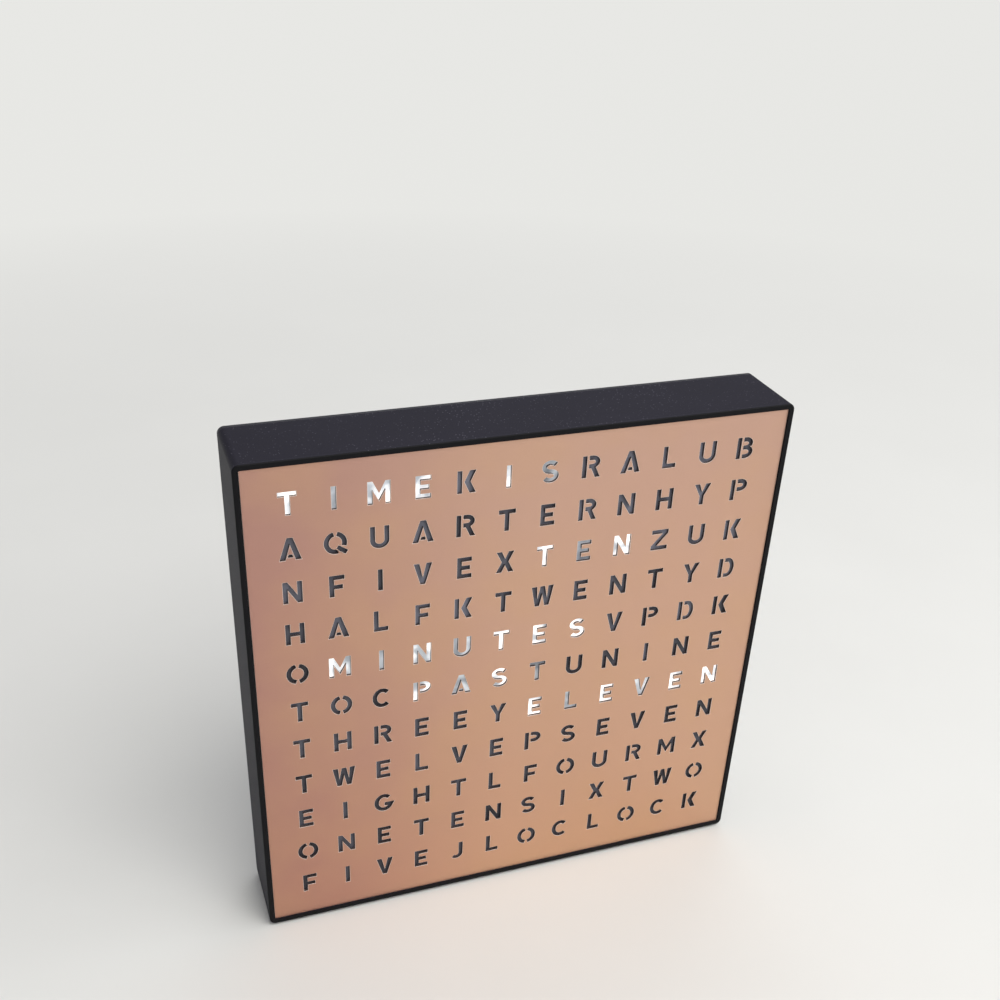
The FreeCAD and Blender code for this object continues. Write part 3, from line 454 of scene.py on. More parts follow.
def bar(x0, z0, x1, z1):
    return [(x0, z0), (x1, z0), (x1, z1), (x0, z1)]


def bowl(x0, width, low, high):
    """The round part of a D, P or R: open towards the stem, with even stroke."""
    middle = (low + high) / 2
    bend = x0 + (width - x0) * 0.3
    return band([(x0, high - half), (bend, high - half)]
                + arc(bend, middle, width - half - bend, middle - low - half, 80, -80)
                + [(bend, low + half), (x0, low + half)])


def slanted_letter(letter, w):
    """Letters made of straight and slanted strokes, each as one outline."""
    h, s, mid = cap_height, stroke, w / 2
    foot = 1.2 * s
    if letter == "A":
        legs = [(0, 0), (mid - 0.6 * s, h), (mid + 0.6 * s, h), (w, 0), (w - foot, 0), (mid, h - 1.5 * s),
                (foot, 0)]
        dash = [(mid - 0.85, 0.9), (mid + 0.85, 0.9), (mid + 0.6, 2.0), (mid - 0.6, 2.0)]
        return [legs, dash]
    if letter == "K":
        join = s + bridge
        return [bar(0, 0, s, h), [(w, h), (w - 1.3 * s, h), (join, h / 2), (w - 1.3 * s, 0), (w, 0),
                                  (join + 1.3 * s, h / 2)]]
    if letter == "M":
        return [[(0, 0), (0, h), (s, h), (mid, 0.45 * h), (w - s, h), (w, h), (w, 0), (w - s, 0), (w - s, 0.62 * h),
                 (mid, 0.14 * h), (s, 0.62 * h), (s, 0)]]
    if letter == "N":
        return [[(0, 0), (0, h), (s, h), (w - s, 0.36 * h), (w - s, h), (w, h), (w, 0), (w - s, 0), (s, 0.64 * h),
                 (s, 0)]]
    if letter == "V":
        return [[(0, h), (foot, h), (mid, 0.3 * h), (w - foot, h), (w, h), (mid + half, 0), (mid - half, 0)]]
    if letter == "W":
        dip = w * 0.28
        return [[(0, h), (foot, h), (dip, 0.36 * h), (mid - half, h), (mid + half, h), (w - dip, 0.36 * h),
                 (w - foot, h), (w, h), (w - dip + half, 0), (w - dip - half, 0), (mid, 0.6 * h),
                 (dip + half, 0), (dip - half, 0)]]
    if letter == "X":
        waist = 0.75 * s
        return [[(0, h), (foot, h), (mid, h / 2 + waist), (w - foot, h), (w, h), (mid + waist, h / 2), (w, 0),
                 (w - foot, 0), (mid, h / 2 - waist), (foot, 0), (0, 0), (mid - waist, h / 2)]]
    if letter == "Y":
        return [[(0, h), (foot, h), (mid, 0.6 * h), (w - foot, h), (w, h), (mid + half, 0.42 * h), (mid + half, 0),
                 (mid - half, 0), (mid - half, 0.42 * h)]]
    return [[(0, h), (w, h), (w, h - s), (1.35 * s, s), (w, s), (w, 0), (0, 0), (0, s), (w - 1.35 * s, h - s),
             (0, h - s)]]


def square_letter(letter, w):
    """Letters made of upright and level bars."""
    h, s = cap_height, stroke
    low, high = h / 2 - half, h / 2 + half
    if letter == "E":
        return [[(0, 0), (w, 0), (w, s), (s, s), (s, low), (0.88 * w, low), (0.88 * w, high), (s, high), (s, h - s),
                 (w, h - s), (w, h), (0, h)]]
    if letter == "F":
        return [[(0, 0), (s, 0), (s, low - 0.3), (0.88 * w, low - 0.3), (0.88 * w, high - 0.3), (s, high - 0.3),
                 (s, h - s), (w, h - s), (w, h), (0, h)]]
    if letter == "H":
        return [[(0, 0), (s, 0), (s, low), (w - s, low), (w - s, 0), (w, 0), (w, h), (w - s, h), (w - s, high),
                 (s, high), (s, h), (0, h)]]
    if letter == "I":
        return [bar(0, 0, s, h)]
    if letter == "L":
        return [[(0, 0), (w, 0), (w, s), (s, s), (s, h), (0, h)]]
    return [[(w / 2 - half, 0), (w / 2 + half, 0), (w / 2 + half, h - s), (w, h - s), (w, h), (0, h), (0, h - s),
             (w / 2 - half, h - s)]]


def round_letter(letter, w):
    """Letters with arcs, broken by bridges where they would close."""
    h, s, mid, centre = cap_height, stroke, w / 2, cap_height / 2
    across, up = w / 2 - half, h / 2 - half
    stem = bar(0, 0, s, h)
    start = s + bridge
    if letter == "B":
        waist = 0.52 * h
        upper = (h - waist + half) / 2
        lower = (waist + half) / 2
        outline = [(start, h)] + arc(mid, h - upper, mid - 0.3, upper, 90, -30)
        outline += arc(mid, lower, mid, lower, 52, -90) + [(start, 0), (start, s)]
        outline += arc(mid, (s + waist - half) / 2, mid - s, (waist - half - s) / 2, -90, 90)
        outline += [(start, waist - half), (start, waist + half)]
        outline += arc(mid, (waist + half + h - s) / 2, mid - s - 0.3, (h - s - waist - half) / 2, -90, 90)
        return [stem, outline + [(start, h - s)]]
    if letter == "C":
        return [band(arc(mid, centre, across, up, 46, 314, 20))]
    if letter == "D":
        return [stem, bowl(start, w, 0, h)]
    if letter == "G":
        return [band(arc(mid, centre, across, up, 46, 318, 20)
                     + [(w - half, centre - half), (mid + 0.3, centre - half)])]
    if letter == "J":
        hook = 1.75
        return [band([(w - half, h), (w - half, hook + half)]
                     + arc(w - half - hook, hook + half, hook, hook, -8, -135))]
    if letter == "O":
        return [band(arc(mid, centre, across, up, 101, 259, 16)), band(arc(mid, centre, across, up, -79, 79, 16))]
    if letter == "P":
        return [stem, bowl(start, w, 0.42 * h, h)]
    if letter == "Q":
        tail = band([(0.58 * w, 0.3 * h), (0.98 * w, 0.3)])
        return [band(arc(mid, centre, across, up, 101, 284, 16)), band(arc(mid, centre, across, up, -22, 79, 12)),
                tail]
    if letter == "R":
        low = 0.42 * h
        bend = start + 0.3 * (w - start)
        centre, up = (low + h) / 2, (h - low) / 2
        outline = [(start, h)] + arc(bend, centre, w - bend, up, 90, -62) + [(w + 0.25, 0), (w + 0.25 - 1.1 * s, 0)]
        outline += [(start + 0.55 * s, low), (start, low), (start, low + s)]
        outline += arc(bend, centre, w - s - bend, up - s, -90, 90) + [(start, h - s)]
        return [stem, outline]
    if letter == "S":
        curl = (h - s) / 4
        return [band(arc(mid, h - half - curl, across, curl, 30, 262, 14)
                     + arc(mid, half + curl, across, curl, 82, -150, 14))]
    turn = 0.36 * h
    return [band([(half, h), (half, turn)] + arc(mid, turn, across, turn - half, 188, 352, 12)
                 + [(w - half, turn), (w - half, h)])]


def draw_letter(letter):
    """All parts of one capital letter, and its width."""
    w = widths.get(letter, usual_width)
    if letter in "AKMNVWXYZ":
        return slanted_letter(letter, w), w
    if letter in "EFHILT":
        return square_letter(letter, w), w
    return round_letter(letter, w), w


print("parts of an O:", len(draw_letter("O")[0]))

# %% [markdown]
# ## The words on the face
# The face is a field of twelve letters by eleven. Words for the minutes fill the upper half, words
# for the hours the lower half, and spare letters close the gaps. The clock lights some words to
# read out a time. Each lit word is written as its row, first letter and last letter.

# %% Set out the words
face_rows = ["TIMEKISRALUB", "AQUARTERNHYP", "NFIVEXTENZUK", "HALFKTWENTYD", "OMINUTESVPDK", "TOCPASTUNINE",
             "THREEYELEVEN", "TWELVEPSEVEN", "EIGHTLFOURMX", "ONETENSIXTWO", "FIVEJLOCLOCK"]
lit_words = [(0, 0, 3), (0, 5, 6), (2, 6, 8), (4, 1, 7), (5, 3, 6), (6, 6, 11)]
column_pitch = 14.3
row_pitch = 15.84
field_shift_x = -0.4
field_rise = 1.0
columns = len(face_rows[0])


def cell_centre(row, column):
    """The middle of a letter cell on the plate, in millimetres from the plate's centre."""
    x = (column - (columns - 1) / 2) * column_pitch + field_shift_x
    z = ((len(face_rows) - 1) / 2 - row) * row_pitch + field_rise
    return x, z


def face_outlines():
    """Every hole of the plate, as outlines around the plate's centre."""
    outlines = []
    for row, letters in enumerate(face_rows):
        for column, letter in enumerate(letters):
            parts, width = draw_letter(letter)
            x, z = cell_centre(row, column)
            for part in parts:
                outlines.append([(x + px - width / 2, z + pz - cap_height / 2) for px, pz in part])
    return outlines


holes = face_outlines()
print("letters:", columns * len(face_rows), "holes:", len(holes))

# %% [markdown]
# ## The letter plate
# The real plate is a sheet of copper-coloured metal with the letters cut through it. A flat curve
# that is filled does this well: its outer line is the plate's edge, every line inside it is a
# hole, and its thickness comes from extruding it. Boolean cuts for hundreds of holes would be far
# slower. The outlines are drawn in millimetres, and the finished sheet is scaled down to metres. A
# very small bevel gives each cut a thin pale edge: the colour of bare cut metal, made lighter as a
# painted highlight. The walls of the cuts are painted dark as painted shade, so that each letter
# keeps its depth.

# %% Cut the plate
edge_bevel = 0.12
corner_round = 0.4


def as_mesh(source, name):
    """Turns a curve or an object with modifiers into a clean mesh object at the origin."""
    graph = bpy.context.evaluated_depsgraph_get()
    mesh = bpy.data.meshes.new_from_object(source.evaluated_get(graph))
    bpy.data.objects.remove(source)
    mesh.name = name
    return add_object(name, mesh)


def tidy_mesh(mesh, weld=0.000002, smooth_angle=35):
    """Joins doubled points, points the faces outwards and smooths only the gentle edges."""
    work = bmesh.new()
    work.from_mesh(mesh)
    bmesh.ops.remove_doubles(work, verts=work.verts, dist=weld)
    bmesh.ops.recalc_face_normals(work, faces=work.faces)
    work.to_mesh(mesh)
    work.free()
    mesh.shade_smooth()
    mesh.set_sharp_from_angle(angle=math.radians(smooth_angle))


def add_outline(curve, points):
    """Adds a closed line through (x, z) points in millimetres."""
    line = curve.splines.new("POLY")
    line.points.add(len(points) - 1)
    for spot, (x, z) in zip(line.points, points):
        spot.co = (x, z, 0, 1)
    line.use_cyclic_u = True


def cut_plate():
    """The plate with every hole, built lying at the origin and then stood up in its place."""
    half_size = (plate_high.x - plate_low.x) / 2 / MM
    middle = half_size - corner_round
    curve = bpy.data.curves.new("letter_plate", "CURVE")
    curve.dimensions = "2D"
    curve.fill_mode = "BOTH"
    curve.extrude = (plate_high.y - plate_low.y) / 2 / MM - edge_bevel
    curve.bevel_depth = edge_bevel
    curve.bevel_resolution = 1
    curve.offset = -edge_bevel
    outer = []
    for sx, sz, start in ((1, 1, 0), (-1, 1, 90), (-1, -1, 180), (1, -1, 270)):
        outer += arc(sx * middle, sz * middle, corner_round, corner_round, start, start + 90, 3)
    for points in [outer] + holes:
        add_outline(curve, points)
    piece = as_mesh(add_object("plate_curve", curve), "letter_plate")
    piece.data.transform(Matrix.Translation(plate_centre) @ Matrix.Rotation(math.pi / 2, 4, "X")
                         @ Matrix.Scale(MM, 4))
    tidy_mesh(piece.data)
    return piece


letter_plate = cut_plate()
across_plate = [vert.co.x for vert in letter_plate.data.vertices]
print("plate faces:", len(letter_plate.data.polygons),
      "spans", round((max(across_plate) - min(across_plate)) / MM, 2), "mm")

# %% [markdown]
# ## Copper
# The plate is anodised or lacquered metal with a soft sheen. Its colour is painted darker and
# rosier at the left edge and lighter to the right, as painted shade and painted reflection, and it
# also turns lighter and more golden towards the foot. Two gradients mix the colours, a slow cloud
# keeps them from looking printed, and a very fine grain in the bump and the gloss spreads the
# reflections.


# %% Finish the copper
def make_copper():
    material, tree, shader = new_material("satin_copper")
    axes = add_node(tree, "ShaderNodeSeparateXYZ", {0: object_place(tree)})
    climb = map_range(tree, axes.outputs["Z"], plate_low.z, plate_high.z)
    # Painted shade and reflection: this share makes the left edge darker and rosier than the right.
    across = map_range(tree, axes.outputs["X"], plate_low.x - 0.01, 0.01, interpolation_type="SMOOTHSTEP")
    surface = use_group(tree, grain_group, Scale=1600.0, Tone_Scale=14.0)
    cloud = add_math(tree, "MULTIPLY_ADD", surface.outputs["Tone"], 0.3, -0.15)
    blend = add_math(tree, "ADD", climb, cloud, clamp=True)
    lit_right_side = mix_colours(tree, blend, rgb(0.675, 0.405, 0.265), rgb(0.610, 0.382, 0.292))
    shaded_left_side = mix_colours(tree, blend, rgb(0.50, 0.255, 0.200), rgb(0.485, 0.272, 0.222))
    colour = mix_colours(tree, across, shaded_left_side, lit_right_side)
    golden = map_range(tree, noise(tree, 26.0, 3.0), 0.45, 0.7, to_high=0.3)
    colour = mix_colours(tree, golden, colour, rgb(0.66, 0.405, 0.225))
    # Pale edges: rubbed copper, and also a painted highlight along the cut letters.
    worn = use_group(tree, wear_group, Width=0.0002, Strength=2.5)
    colour = mix_colours(tree, worn.outputs["Mask"], colour, rgb(0.85, 0.62, 0.50))
    tree.links.new(colour, shader.inputs["Base Color"])
    shader.inputs["Metallic"].default_value = 0.85
    gloss = add_math(tree, "MULTIPLY_ADD", surface.outputs["Height"], 0.14, 0.38)
    tree.links.new(gloss, shader.inputs["Roughness"])
    add_bump(tree, shader, surface.outputs["Height"], 0.25, 0.00002)
    return material


satin_copper = make_copper()
# The bevel's pale colour is bare cut metal, made lighter as a painted highlight.
cut_metal_highlight = make_finish("cut_metal_highlight", rgb(0.80, 0.68, 0.61), rgb(0.88, 0.78, 0.71), 0.45, metallic=0.9, grain=3000.0,
                        bump=0.3)
# Painted shade: the walls of the cuts are painted dark.
painted_shade_wall = make_finish("painted_shade_wall", rgb(0.055, 0.036, 0.034), rgb(0.080, 0.052, 0.046), 0.6, grain=3000.0, bump=0.3)
letter_plate.data.materials.clear()
for finish in (satin_copper, cut_metal_highlight, painted_shade_wall):
    letter_plate.data.materials.append(finish)
# Front faces are copper, the bevel is pale cut metal with a painted highlight, and the walls carry the painted
# shade.
flat, walled = 0.999, 0.1
for face in letter_plate.data.polygons:
    turned = abs(face.normal.y)
    face.material_index = 0 if turned > flat else 1 if turned > walled else 2
    face.use_smooth = turned < flat
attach(letter_plate, "clock_body")
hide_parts("face_plate")
print("copper on", letter_plate.name)

# %% [markdown]
# ## The light behind the letters
# Behind the plate lies a frosted sheet with one raised pad for each letter. Each pad carries a
# number that says how brightly its lamp shines, and the material reads that number. The pads are
# the same shape again and again, so Geometry Nodes set one on each point of the letter field, and
# the number travels with the point. A seeded random keeps the lamps a little uneven.

# %% Build the pad tree
pad_width = 11.0 * MM
pad_height = 12.4 * MM
pad_depth = 0.12 * MM


def start_tree(name, inputs):
    """A Geometry Nodes tree with a geometry input and named sizes."""
    tree = bpy.data.node_groups.new(name, "GeometryNodeTree")
    tree.interface.new_socket(name="Geometry", in_out="INPUT", socket_type="NodeSocketGeometry")
    for label, kind, default in inputs:
        socket = tree.interface.new_socket(name=label, in_out="INPUT", socket_type=kind)
        if default is not None:
            socket.default_value = default
    tree.interface.new_socket(name="Geometry", in_out="OUTPUT", socket_type="NodeSocketGeometry")
    return tree, add_node(tree, "NodeGroupInput"), add_node(tree, "NodeGroupOutput")


def place_copies(tree, given, result, shape, rotation=(0, 0, 0)):
    """Sets a copy of the shape on every point, makes it real and gives it its material."""
    copies = add_node(tree, "GeometryNodeInstanceOnPoints", {"Points": given.outputs["Geometry"], "Instance": shape,
                                                             "Rotation": rotation})
    real = add_node(tree, "GeometryNodeRealizeInstances", {"Geometry": copies.outputs["Instances"]})
    dressed = add_node(tree, "GeometryNodeSetMaterial", {"Geometry": real.outputs["Geometry"],
                                                         "Material": given.outputs["Material"]})
    tree.links.new(dressed.outputs["Geometry"], result.inputs["Geometry"])
    return dressed.outputs["Geometry"]


def build_pad_tree():
    tree, given, result = start_tree("light_pads", [("Pad Width", "NodeSocketFloat", pad_width),
                                                    ("Pad Height", "NodeSocketFloat", pad_height),
                                                    ("Pad Depth", "NodeSocketFloat", pad_depth),
                                                    ("Material", "NodeSocketMaterial", None)])
    size = add_node(tree, "ShaderNodeCombineXYZ", {"X": given.outputs["Pad Width"], "Y": given.outputs["Pad Depth"],
                                                   "Z": given.outputs["Pad Height"]})
    pad = add_node(tree, "GeometryNodeMeshCube", {"Size": size.outputs[0], "Vertices X": 3, "Vertices Z": 3})
    place_copies(tree, given, result, pad.outputs["Mesh"])
    return tree


def run_tree(points, tree, values, name):
    """Runs a tree on an object, keeps the result as a plain mesh and leaves no modifier behind."""
    modifier = points.modifiers.new("tree", "NODES")
    modifier.node_group = tree
    for socket in tree.interface.items_tree:
        if socket.in_out == "INPUT" and socket.name in values:
            modifier[socket.identifier] = values[socket.name]
    return as_mesh(points, name)


def points_object(name, places):
    """A mesh of loose points, for a tree to set its copies on."""
    mesh = bpy.data.meshes.new(name)
    mesh.from_pydata(places, [], [])
    return add_object(name, mesh)


pad_tree = build_pad_tree()
print("inputs of the pad tree:", [s.name for s in pad_tree.interface.items_tree if s.in_out == "INPUT"])

# %% [markdown]
# ## Frosted plastic that glows
# Unlit, the sheet's colour is painted light and shade: slate grey where the room's light would
# reach it and nearly black elsewhere, because the space behind it is black. Each pad's shade number
# sets how much of this painted light it gets. Lit, it is nearly white. The glow is an emission
# colour, the brightness comes from each pad's number, and a soft cloud makes some letters fade at
# one side.


# %% Finish the frosted sheet
def make_frost():
    material, tree, shader = new_material("frosted_sheet")
    surface = use_group(tree, grain_group, Scale=1400.0, Tone_Scale=45.0)
    level = add_node(tree, "ShaderNodeAttribute", attribute_name="glow").outputs["Fac"]
    shade = add_node(tree, "ShaderNodeAttribute", attribute_name="shade").outputs["Fac"]
    cloud = map_range(tree, surface.outputs["Tone"], 0.38, 0.6, 0.55, 1.0)
    patchy = map_range(tree, noise(tree, 190.0, 1.0), 0.35, 0.65, 0.45, 1.35)
    shining = add_math(tree, "MULTIPLY", add_math(tree, "MULTIPLY", level, cloud), patchy, clamp=True)
    # Painted light and shade: the unlit sheet goes from near black to slate by each pad's shade number.
    depth = add_math(tree, "MULTIPLY", shade, add_math(tree, "MULTIPLY", surface.outputs["Tone"], 2.0), clamp=True)
    painted_unlit_shade = mix_colours(tree, depth, rgb(0.008, 0.006, 0.009), rgb(0.185, 0.190, 0.235))
    tree.links.new(mix_colours(tree, shining, painted_unlit_shade, grey(0.8)), shader.inputs["Base Color"])
    lamp_colour = mix_colours(tree, shining, rgb(0.78, 0.90, 1.0), rgb(1.0, 0.985, 0.95))
    tree.links.new(mix_colours(tree, shining, grey(0), lamp_colour), shader.inputs["Emission Color"])
    shader.inputs["Emission Strength"].default_value = 1.15
    shader.inputs["Roughness"].default_value = 0.6
    add_bump(tree, shader, surface.outputs["Height"], 0.3, 0.00003)
    return material


frosted_sheet = make_frost()
print("sheet finish:", frosted_sheet.name, "nodes", len(frosted_sheet.node_tree.nodes))

# %% Make the light sheet
sheet_corner_cut = 3.2 * MM
dim_letters = {(0, 1): 0.42, (0, 6): 0.38, (2, 7): 0.2, (4, 2): 0.25, (4, 4): 0.42, (5, 4): 0.5, (5, 6): 0.3,
               (6, 7): 0.4, (6, 9): 0.45}


def lamp_levels():
    """How brightly each lamp shines, from the top row down. The dim letters, by row and column, come last."""
    chance = random.Random(12)
    levels = [[0.0] * columns for _ in face_rows]
    for row, first, last in lit_words:
        for column in range(first, last + 1):
            levels[row][column] = 0.8 + 0.2 * chance.random()
    for (row, column), level in dim_letters.items():
        levels[row][column] = level
    return [value for line in levels for value in line]


def painted_letter_shades():
    """How much painted light and shade each dark letter gets: most at the upper right, least at the foot."""
    chance = random.Random(5)
    last_row, last_column = len(face_rows) - 1, columns - 1
    shades = []
    for row in range(len(face_rows)):
        for column in range(columns):
            level = 0.35 + 0.65 * (1 - row / last_row) * (0.6 + 0.4 * column / last_column)
            shades.append(min(1.0, level * (0.45 + 0.8 * chance.random())))
    return shades


def make_light_sheet():
    """The sheet and its pads as one piece that fills the place of the plain sheet."""
    low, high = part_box("diffuser_sheet")
    places = []
    for row in range(len(face_rows)):
        for column in range(columns):
            x, z = cell_centre(row, column)
            places.append((x * MM, low.y + pad_depth / 2, plate_centre.z + z * MM))
    points = points_object("letter_points", places)
    glow = points.data.attributes.new("glow", "FLOAT", "POINT")
    glow.data.foreach_set("value", lamp_levels())
    # The shade number sets the painted light and shade of each unlit letter.
    shade = points.data.attributes.new("shade", "FLOAT", "POINT")
    shade.data.foreach_set("value", painted_letter_shades())
    sheet = run_tree(points, pad_tree, {"Pad Width": pad_width, "Pad Height": pad_height, "Pad Depth": pad_depth,
                                        "Material": frosted_sheet}, "light_sheet")
    work = bmesh.new()
    work.from_mesh(sheet.data)
    added = bmesh.ops.create_cube(work, size=1.0)["verts"]
    size = high - low
    back_size = Vector((size.x, size.y - pad_depth, size.z))
    centre = Vector(((low.x + high.x) / 2, (low.y + pad_depth + high.y) / 2, (low.z + high.z) / 2))
    for vert in added:
        vert.co = centre + Vector([a * b for a, b in zip(vert.co, back_size)])
    long_edges = [e for e in work.edges if e.verts[0] in added and e.verts[1] in added
                  and abs(e.verts[0].co.y - e.verts[1].co.y) > 0.5 * back_size.y]
    bmesh.ops.bevel(work, geom=long_edges, offset=sheet_corner_cut, segments=1, affect="EDGES")
    work.to_mesh(sheet.data)
    work.free()
    return sheet


light_sheet = make_light_sheet()
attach(light_sheet, "clock_body")
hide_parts("diffuser_sheet")
print("light sheet faces:", len(light_sheet.data.polygons))

# %% [markdown]
# ## Screws of the rear cover
# Four pan-head screws hold the cover, sunk in round recesses. What makes them look real is the
# cross recess and the domed head, so one screw is turned from a profile and its cross is cut with
# a boolean. Geometry Nodes then set a copy on each of the four places.

# %% Turn one screw
head_radius = 2.6 * MM
head_height = 1.6 * MM
shank_radius = 1.3 * MM
rim_share = 0.45
crown_share = 0.28
recess_depth = 0.2 * MM
screw_low, screw_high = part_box("cover_screws")


def as_object(work, name):
    """Turns an edit mesh into an object, with its faces pointing outwards."""
    bmesh.ops.recalc_face_normals(work, faces=work.faces)
    mesh = bpy.data.meshes.new(name)
    work.to_mesh(mesh)
    work.free()
    return add_object(name, mesh)


def turn_profile(name, profile, steps=32):
    """A closed solid turned about the Y axis from (radius, y) points."""
    work = bmesh.new()
    rings = []
    for radius, y in profile:
        if radius == 0:
            rings.append([work.verts.new((0, y, 0))])
            continue
        angles = [2 * math.pi * n / steps for n in range(steps)]
        rings.append([work.verts.new((radius * math.cos(a), y, radius * math.sin(a))) for a in angles])
    for low_ring, high_ring in zip(rings, rings[1:]):
        for n in range(steps):
            m = (n + 1) % steps
            corners = [low_ring[n % len(low_ring)], low_ring[m % len(low_ring)], high_ring[m % len(high_ring)],
                       high_ring[n % len(high_ring)]]
            work.faces.new(list(dict.fromkeys(corners)))
    return as_object(work, name)


def cross_cutter(depth):
    """Two crossed wedges, narrower at the bottom, that cut the driver's recess."""
    work = bmesh.new()
    for turned in (False, True):
        verts = bmesh.ops.create_cube(work, size=1.0)["verts"]
        for vert in verts:
            deep = vert.co.y < 0
            along = vert.co.x * (1.7 if deep else 3.3) * MM
            aside = vert.co.z * (0.42 if deep else 0.62) * MM
            y = -depth if deep else 1.0 * MM
            vert.co = (aside, y, along) if turned else (along, y, aside)
    return as_object(work, "cross_cutter")


def make_screw():
    """One screw with its head's seat at y = 0 and its head towards +Y. The dome ends in a flat crown."""
    length = (screw_high.y - screw_low.y) - head_height
    dome = [(head_radius, 0.0), (head_radius, rim_share * head_height)]
    for n in range(1, 6):
        turn = math.pi / 2 * n / 6
        step_in = crown_share * head_radius * (n == 5)
        dome.append((head_radius * (1 - crown_share * (1 - math.cos(turn))) - step_in,
                     rim_share * head_height + (1 - rim_share) * head_height * math.sin(turn)))
    profile = [(0, -length), (shank_radius * 0.5, -length), (shank_radius, -length + shank_radius * 0.5),
               (shank_radius, 0.0)] + dome + [(0, head_height)]
    screw = turn_profile("screw", profile)
    cutter = cross_cutter(recess_depth)
    cutter.data.transform(Matrix.Translation((0, head_height - 1.0 * MM, 0)))
    modifier = screw.modifiers.new("recess", "BOOLEAN")
    modifier.object = cutter
    modifier.operation = "DIFFERENCE"
    modifier.use_self = True
    cut = as_mesh(screw, "screw_source")
    bpy.data.objects.remove(cutter)
    return cut


screw_source = make_screw()
print("faces of one screw:", len(screw_source.data.polygons))

# %% Set the four screws
def build_screw_tree():
    tree, given, result = start_tree("cover_screw_set", [("Screw", "NodeSocketObject", None),
                                                         ("Turn", "NodeSocketFloat", 0.6),
                                                         ("Seed", "NodeSocketInt", 3),
                                                         ("Material", "NodeSocketMaterial", None)])
    shape = add_node(tree, "GeometryNodeObjectInfo", {"Object": given.outputs["Screw"]})
    chance = add_node(tree, "FunctionNodeRandomValue", {"Seed": given.outputs["Seed"]}, data_type="FLOAT")
    find_socket(chance.inputs, "Max_001").default_value = math.pi / 2
    turn = add_math(tree, "MULTIPLY", find_socket(chance.outputs, "Value_001"), given.outputs["Turn"])
    angles = add_node(tree, "ShaderNodeCombineXYZ", {"Y": turn})
    place_copies(tree, given, result, shape.outputs["Geometry"], angles.outputs[0])
    return tree


seat_y = screw_high.y - head_height
screw_places = [(x, seat_y, z) for x in (screw_low.x + head_radius, screw_high.x - head_radius)
                for z in (screw_low.z + head_radius, screw_high.z - head_radius)]
cover_screws = run_tree(points_object("screw_points", screw_places), build_screw_tree(),
                        {"Screw": screw_source, "Turn": 0.9, "Seed": 3, "Material": black_screw},
                        "cover_screw_heads")
bpy.data.objects.remove(screw_source)
tidy_mesh(cover_screws.data)
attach(cover_screws, "clock_body")
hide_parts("cover_screws")
print("screw set faces:", len(cover_screws.data.polygons))

# %% [markdown]
# ## Set keys
# The two round keys are moulded caps. A thumb finds them by the shallow dish in their top, and the
# edge round the dish is rounded over. Both are turned from the same profile, measured down from
# the top of the cap: the dish, the rounded edge, the side, the flange that keeps the key in its
# hole, and the stem that rests on the switch.

# %% Turn the keys
cap_radius = 3.4 * MM
flange_radius = 4.6 * MM
stem_radius = 2.2 * MM
flange_top = 2.2 * MM
flange_foot = 3.2 * MM
dish_depth = 0.28 * MM
cap_round = 0.5 * MM


def key_profile(foot, top):
    """From the middle of the stem's foot out and up to the middle of the dish."""
    profile = [(0, foot), (stem_radius, foot), (stem_radius, top - flange_foot), (flange_radius, top - flange_foot),
               (flange_radius, top - flange_top), (cap_radius, top - flange_top)]
    for n in range(6):
        turn = math.pi / 2 * n / 5
        profile.append((cap_radius - cap_round * (1 - math.cos(turn)), top - cap_round * (1 - math.sin(turn))))
    rim = cap_radius - cap_round - 0.15 * MM
    for n in range(7):
        share = n / 7
        profile.append((rim * (1 - share), top - dish_depth * (1 - (1 - share) ** 2)))
    return profile + [(0, top - dish_depth)]


def make_key(name, node, body):
    low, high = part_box(node)
    key = turn_profile(name, key_profile(low.y, high.y), 40)
    key.data.transform(Matrix.Translation(((low.x + high.x) / 2, 0, (low.z + high.z) / 2)))
    tidy_mesh(key.data, smooth_angle=40)
    key.data.materials.append(button_grey)
    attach(key, body)
    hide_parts(node)
    return key


keys = [make_key("minute_key_cap", "minute_button", "minute_key"),
        make_key("hour_key_cap", "hour_button", "hour_key")]
print("key faces:", [len(key.data.polygons) for key in keys])

# %% [markdown]
# ## Battery cells
# The three cells show when the door is open. A cell is a steel can in a tight sleeve, and bare
# steel shows only at the nub and in the middle of the flat end. One cell is turned from a profile.
# Its faces carry a mark that says where the sleeve is, and its points carry their place along the
# cell, so that the sleeve's pale band sits at the nub's end whichever way the cell lies. Geometry
# Nodes then lay the three cells, the middle one the other way round.

# %% Turn one cell
cells_low, cells_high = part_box("battery_cells")
cell_radius = 7.1 * MM
cell_length = 50.5 * MM
cell_pitch = (cells_high.z - cells_low.z - 2 * cell_radius) / 2
nub_radius = 2.7 * MM
nub_length = 1.3 * MM
edge_round = 0.6 * MM
bare_radius = 5.6 * MM


def cell_profile():
    """From the tip of the nub to the flat end, with rounded ends and a shallow step at the bare steel."""
    shoulder = nub_length + 0.12 * MM
    profile = [(0, 0), (nub_radius - 0.4 * MM, 0), (nub_radius, 0.4 * MM), (nub_radius, shoulder),
               (bare_radius, shoulder), (bare_radius, nub_length)]
    for start, lean in ((nub_length + edge_round, 1), (cell_length - edge_round, -1)):
        turns = [math.pi / 2 * n / 4 for n in range(5)]
        if lean < 0:
            turns.reverse()
        profile += [(cell_radius - edge_round * (1 - math.sin(t)), start - lean * edge_round * math.cos(t))
                    for t in turns]
    return profile + [(bare_radius, cell_length), (bare_radius, cell_length - 0.12 * MM),
                      (0, cell_length - 0.12 * MM)]


cell_source = turn_profile("cell", cell_profile(), 40)
cell_source.data.materials.append(nickel)
in_sleeve = cell_source.data.attributes.new("in_sleeve", "BOOLEAN", "FACE")
in_sleeve.data.foreach_set("value", [math.hypot(face.center.x, face.center.z) > bare_radius * 0.98
                                     for face in cell_source.data.polygons])
along = cell_source.data.attributes.new("along", "FLOAT", "POINT")
along.data.foreach_set("value", [vert.co.y / cell_length for vert in cell_source.data.vertices])
print("faces of one cell:", len(cell_source.data.polygons))


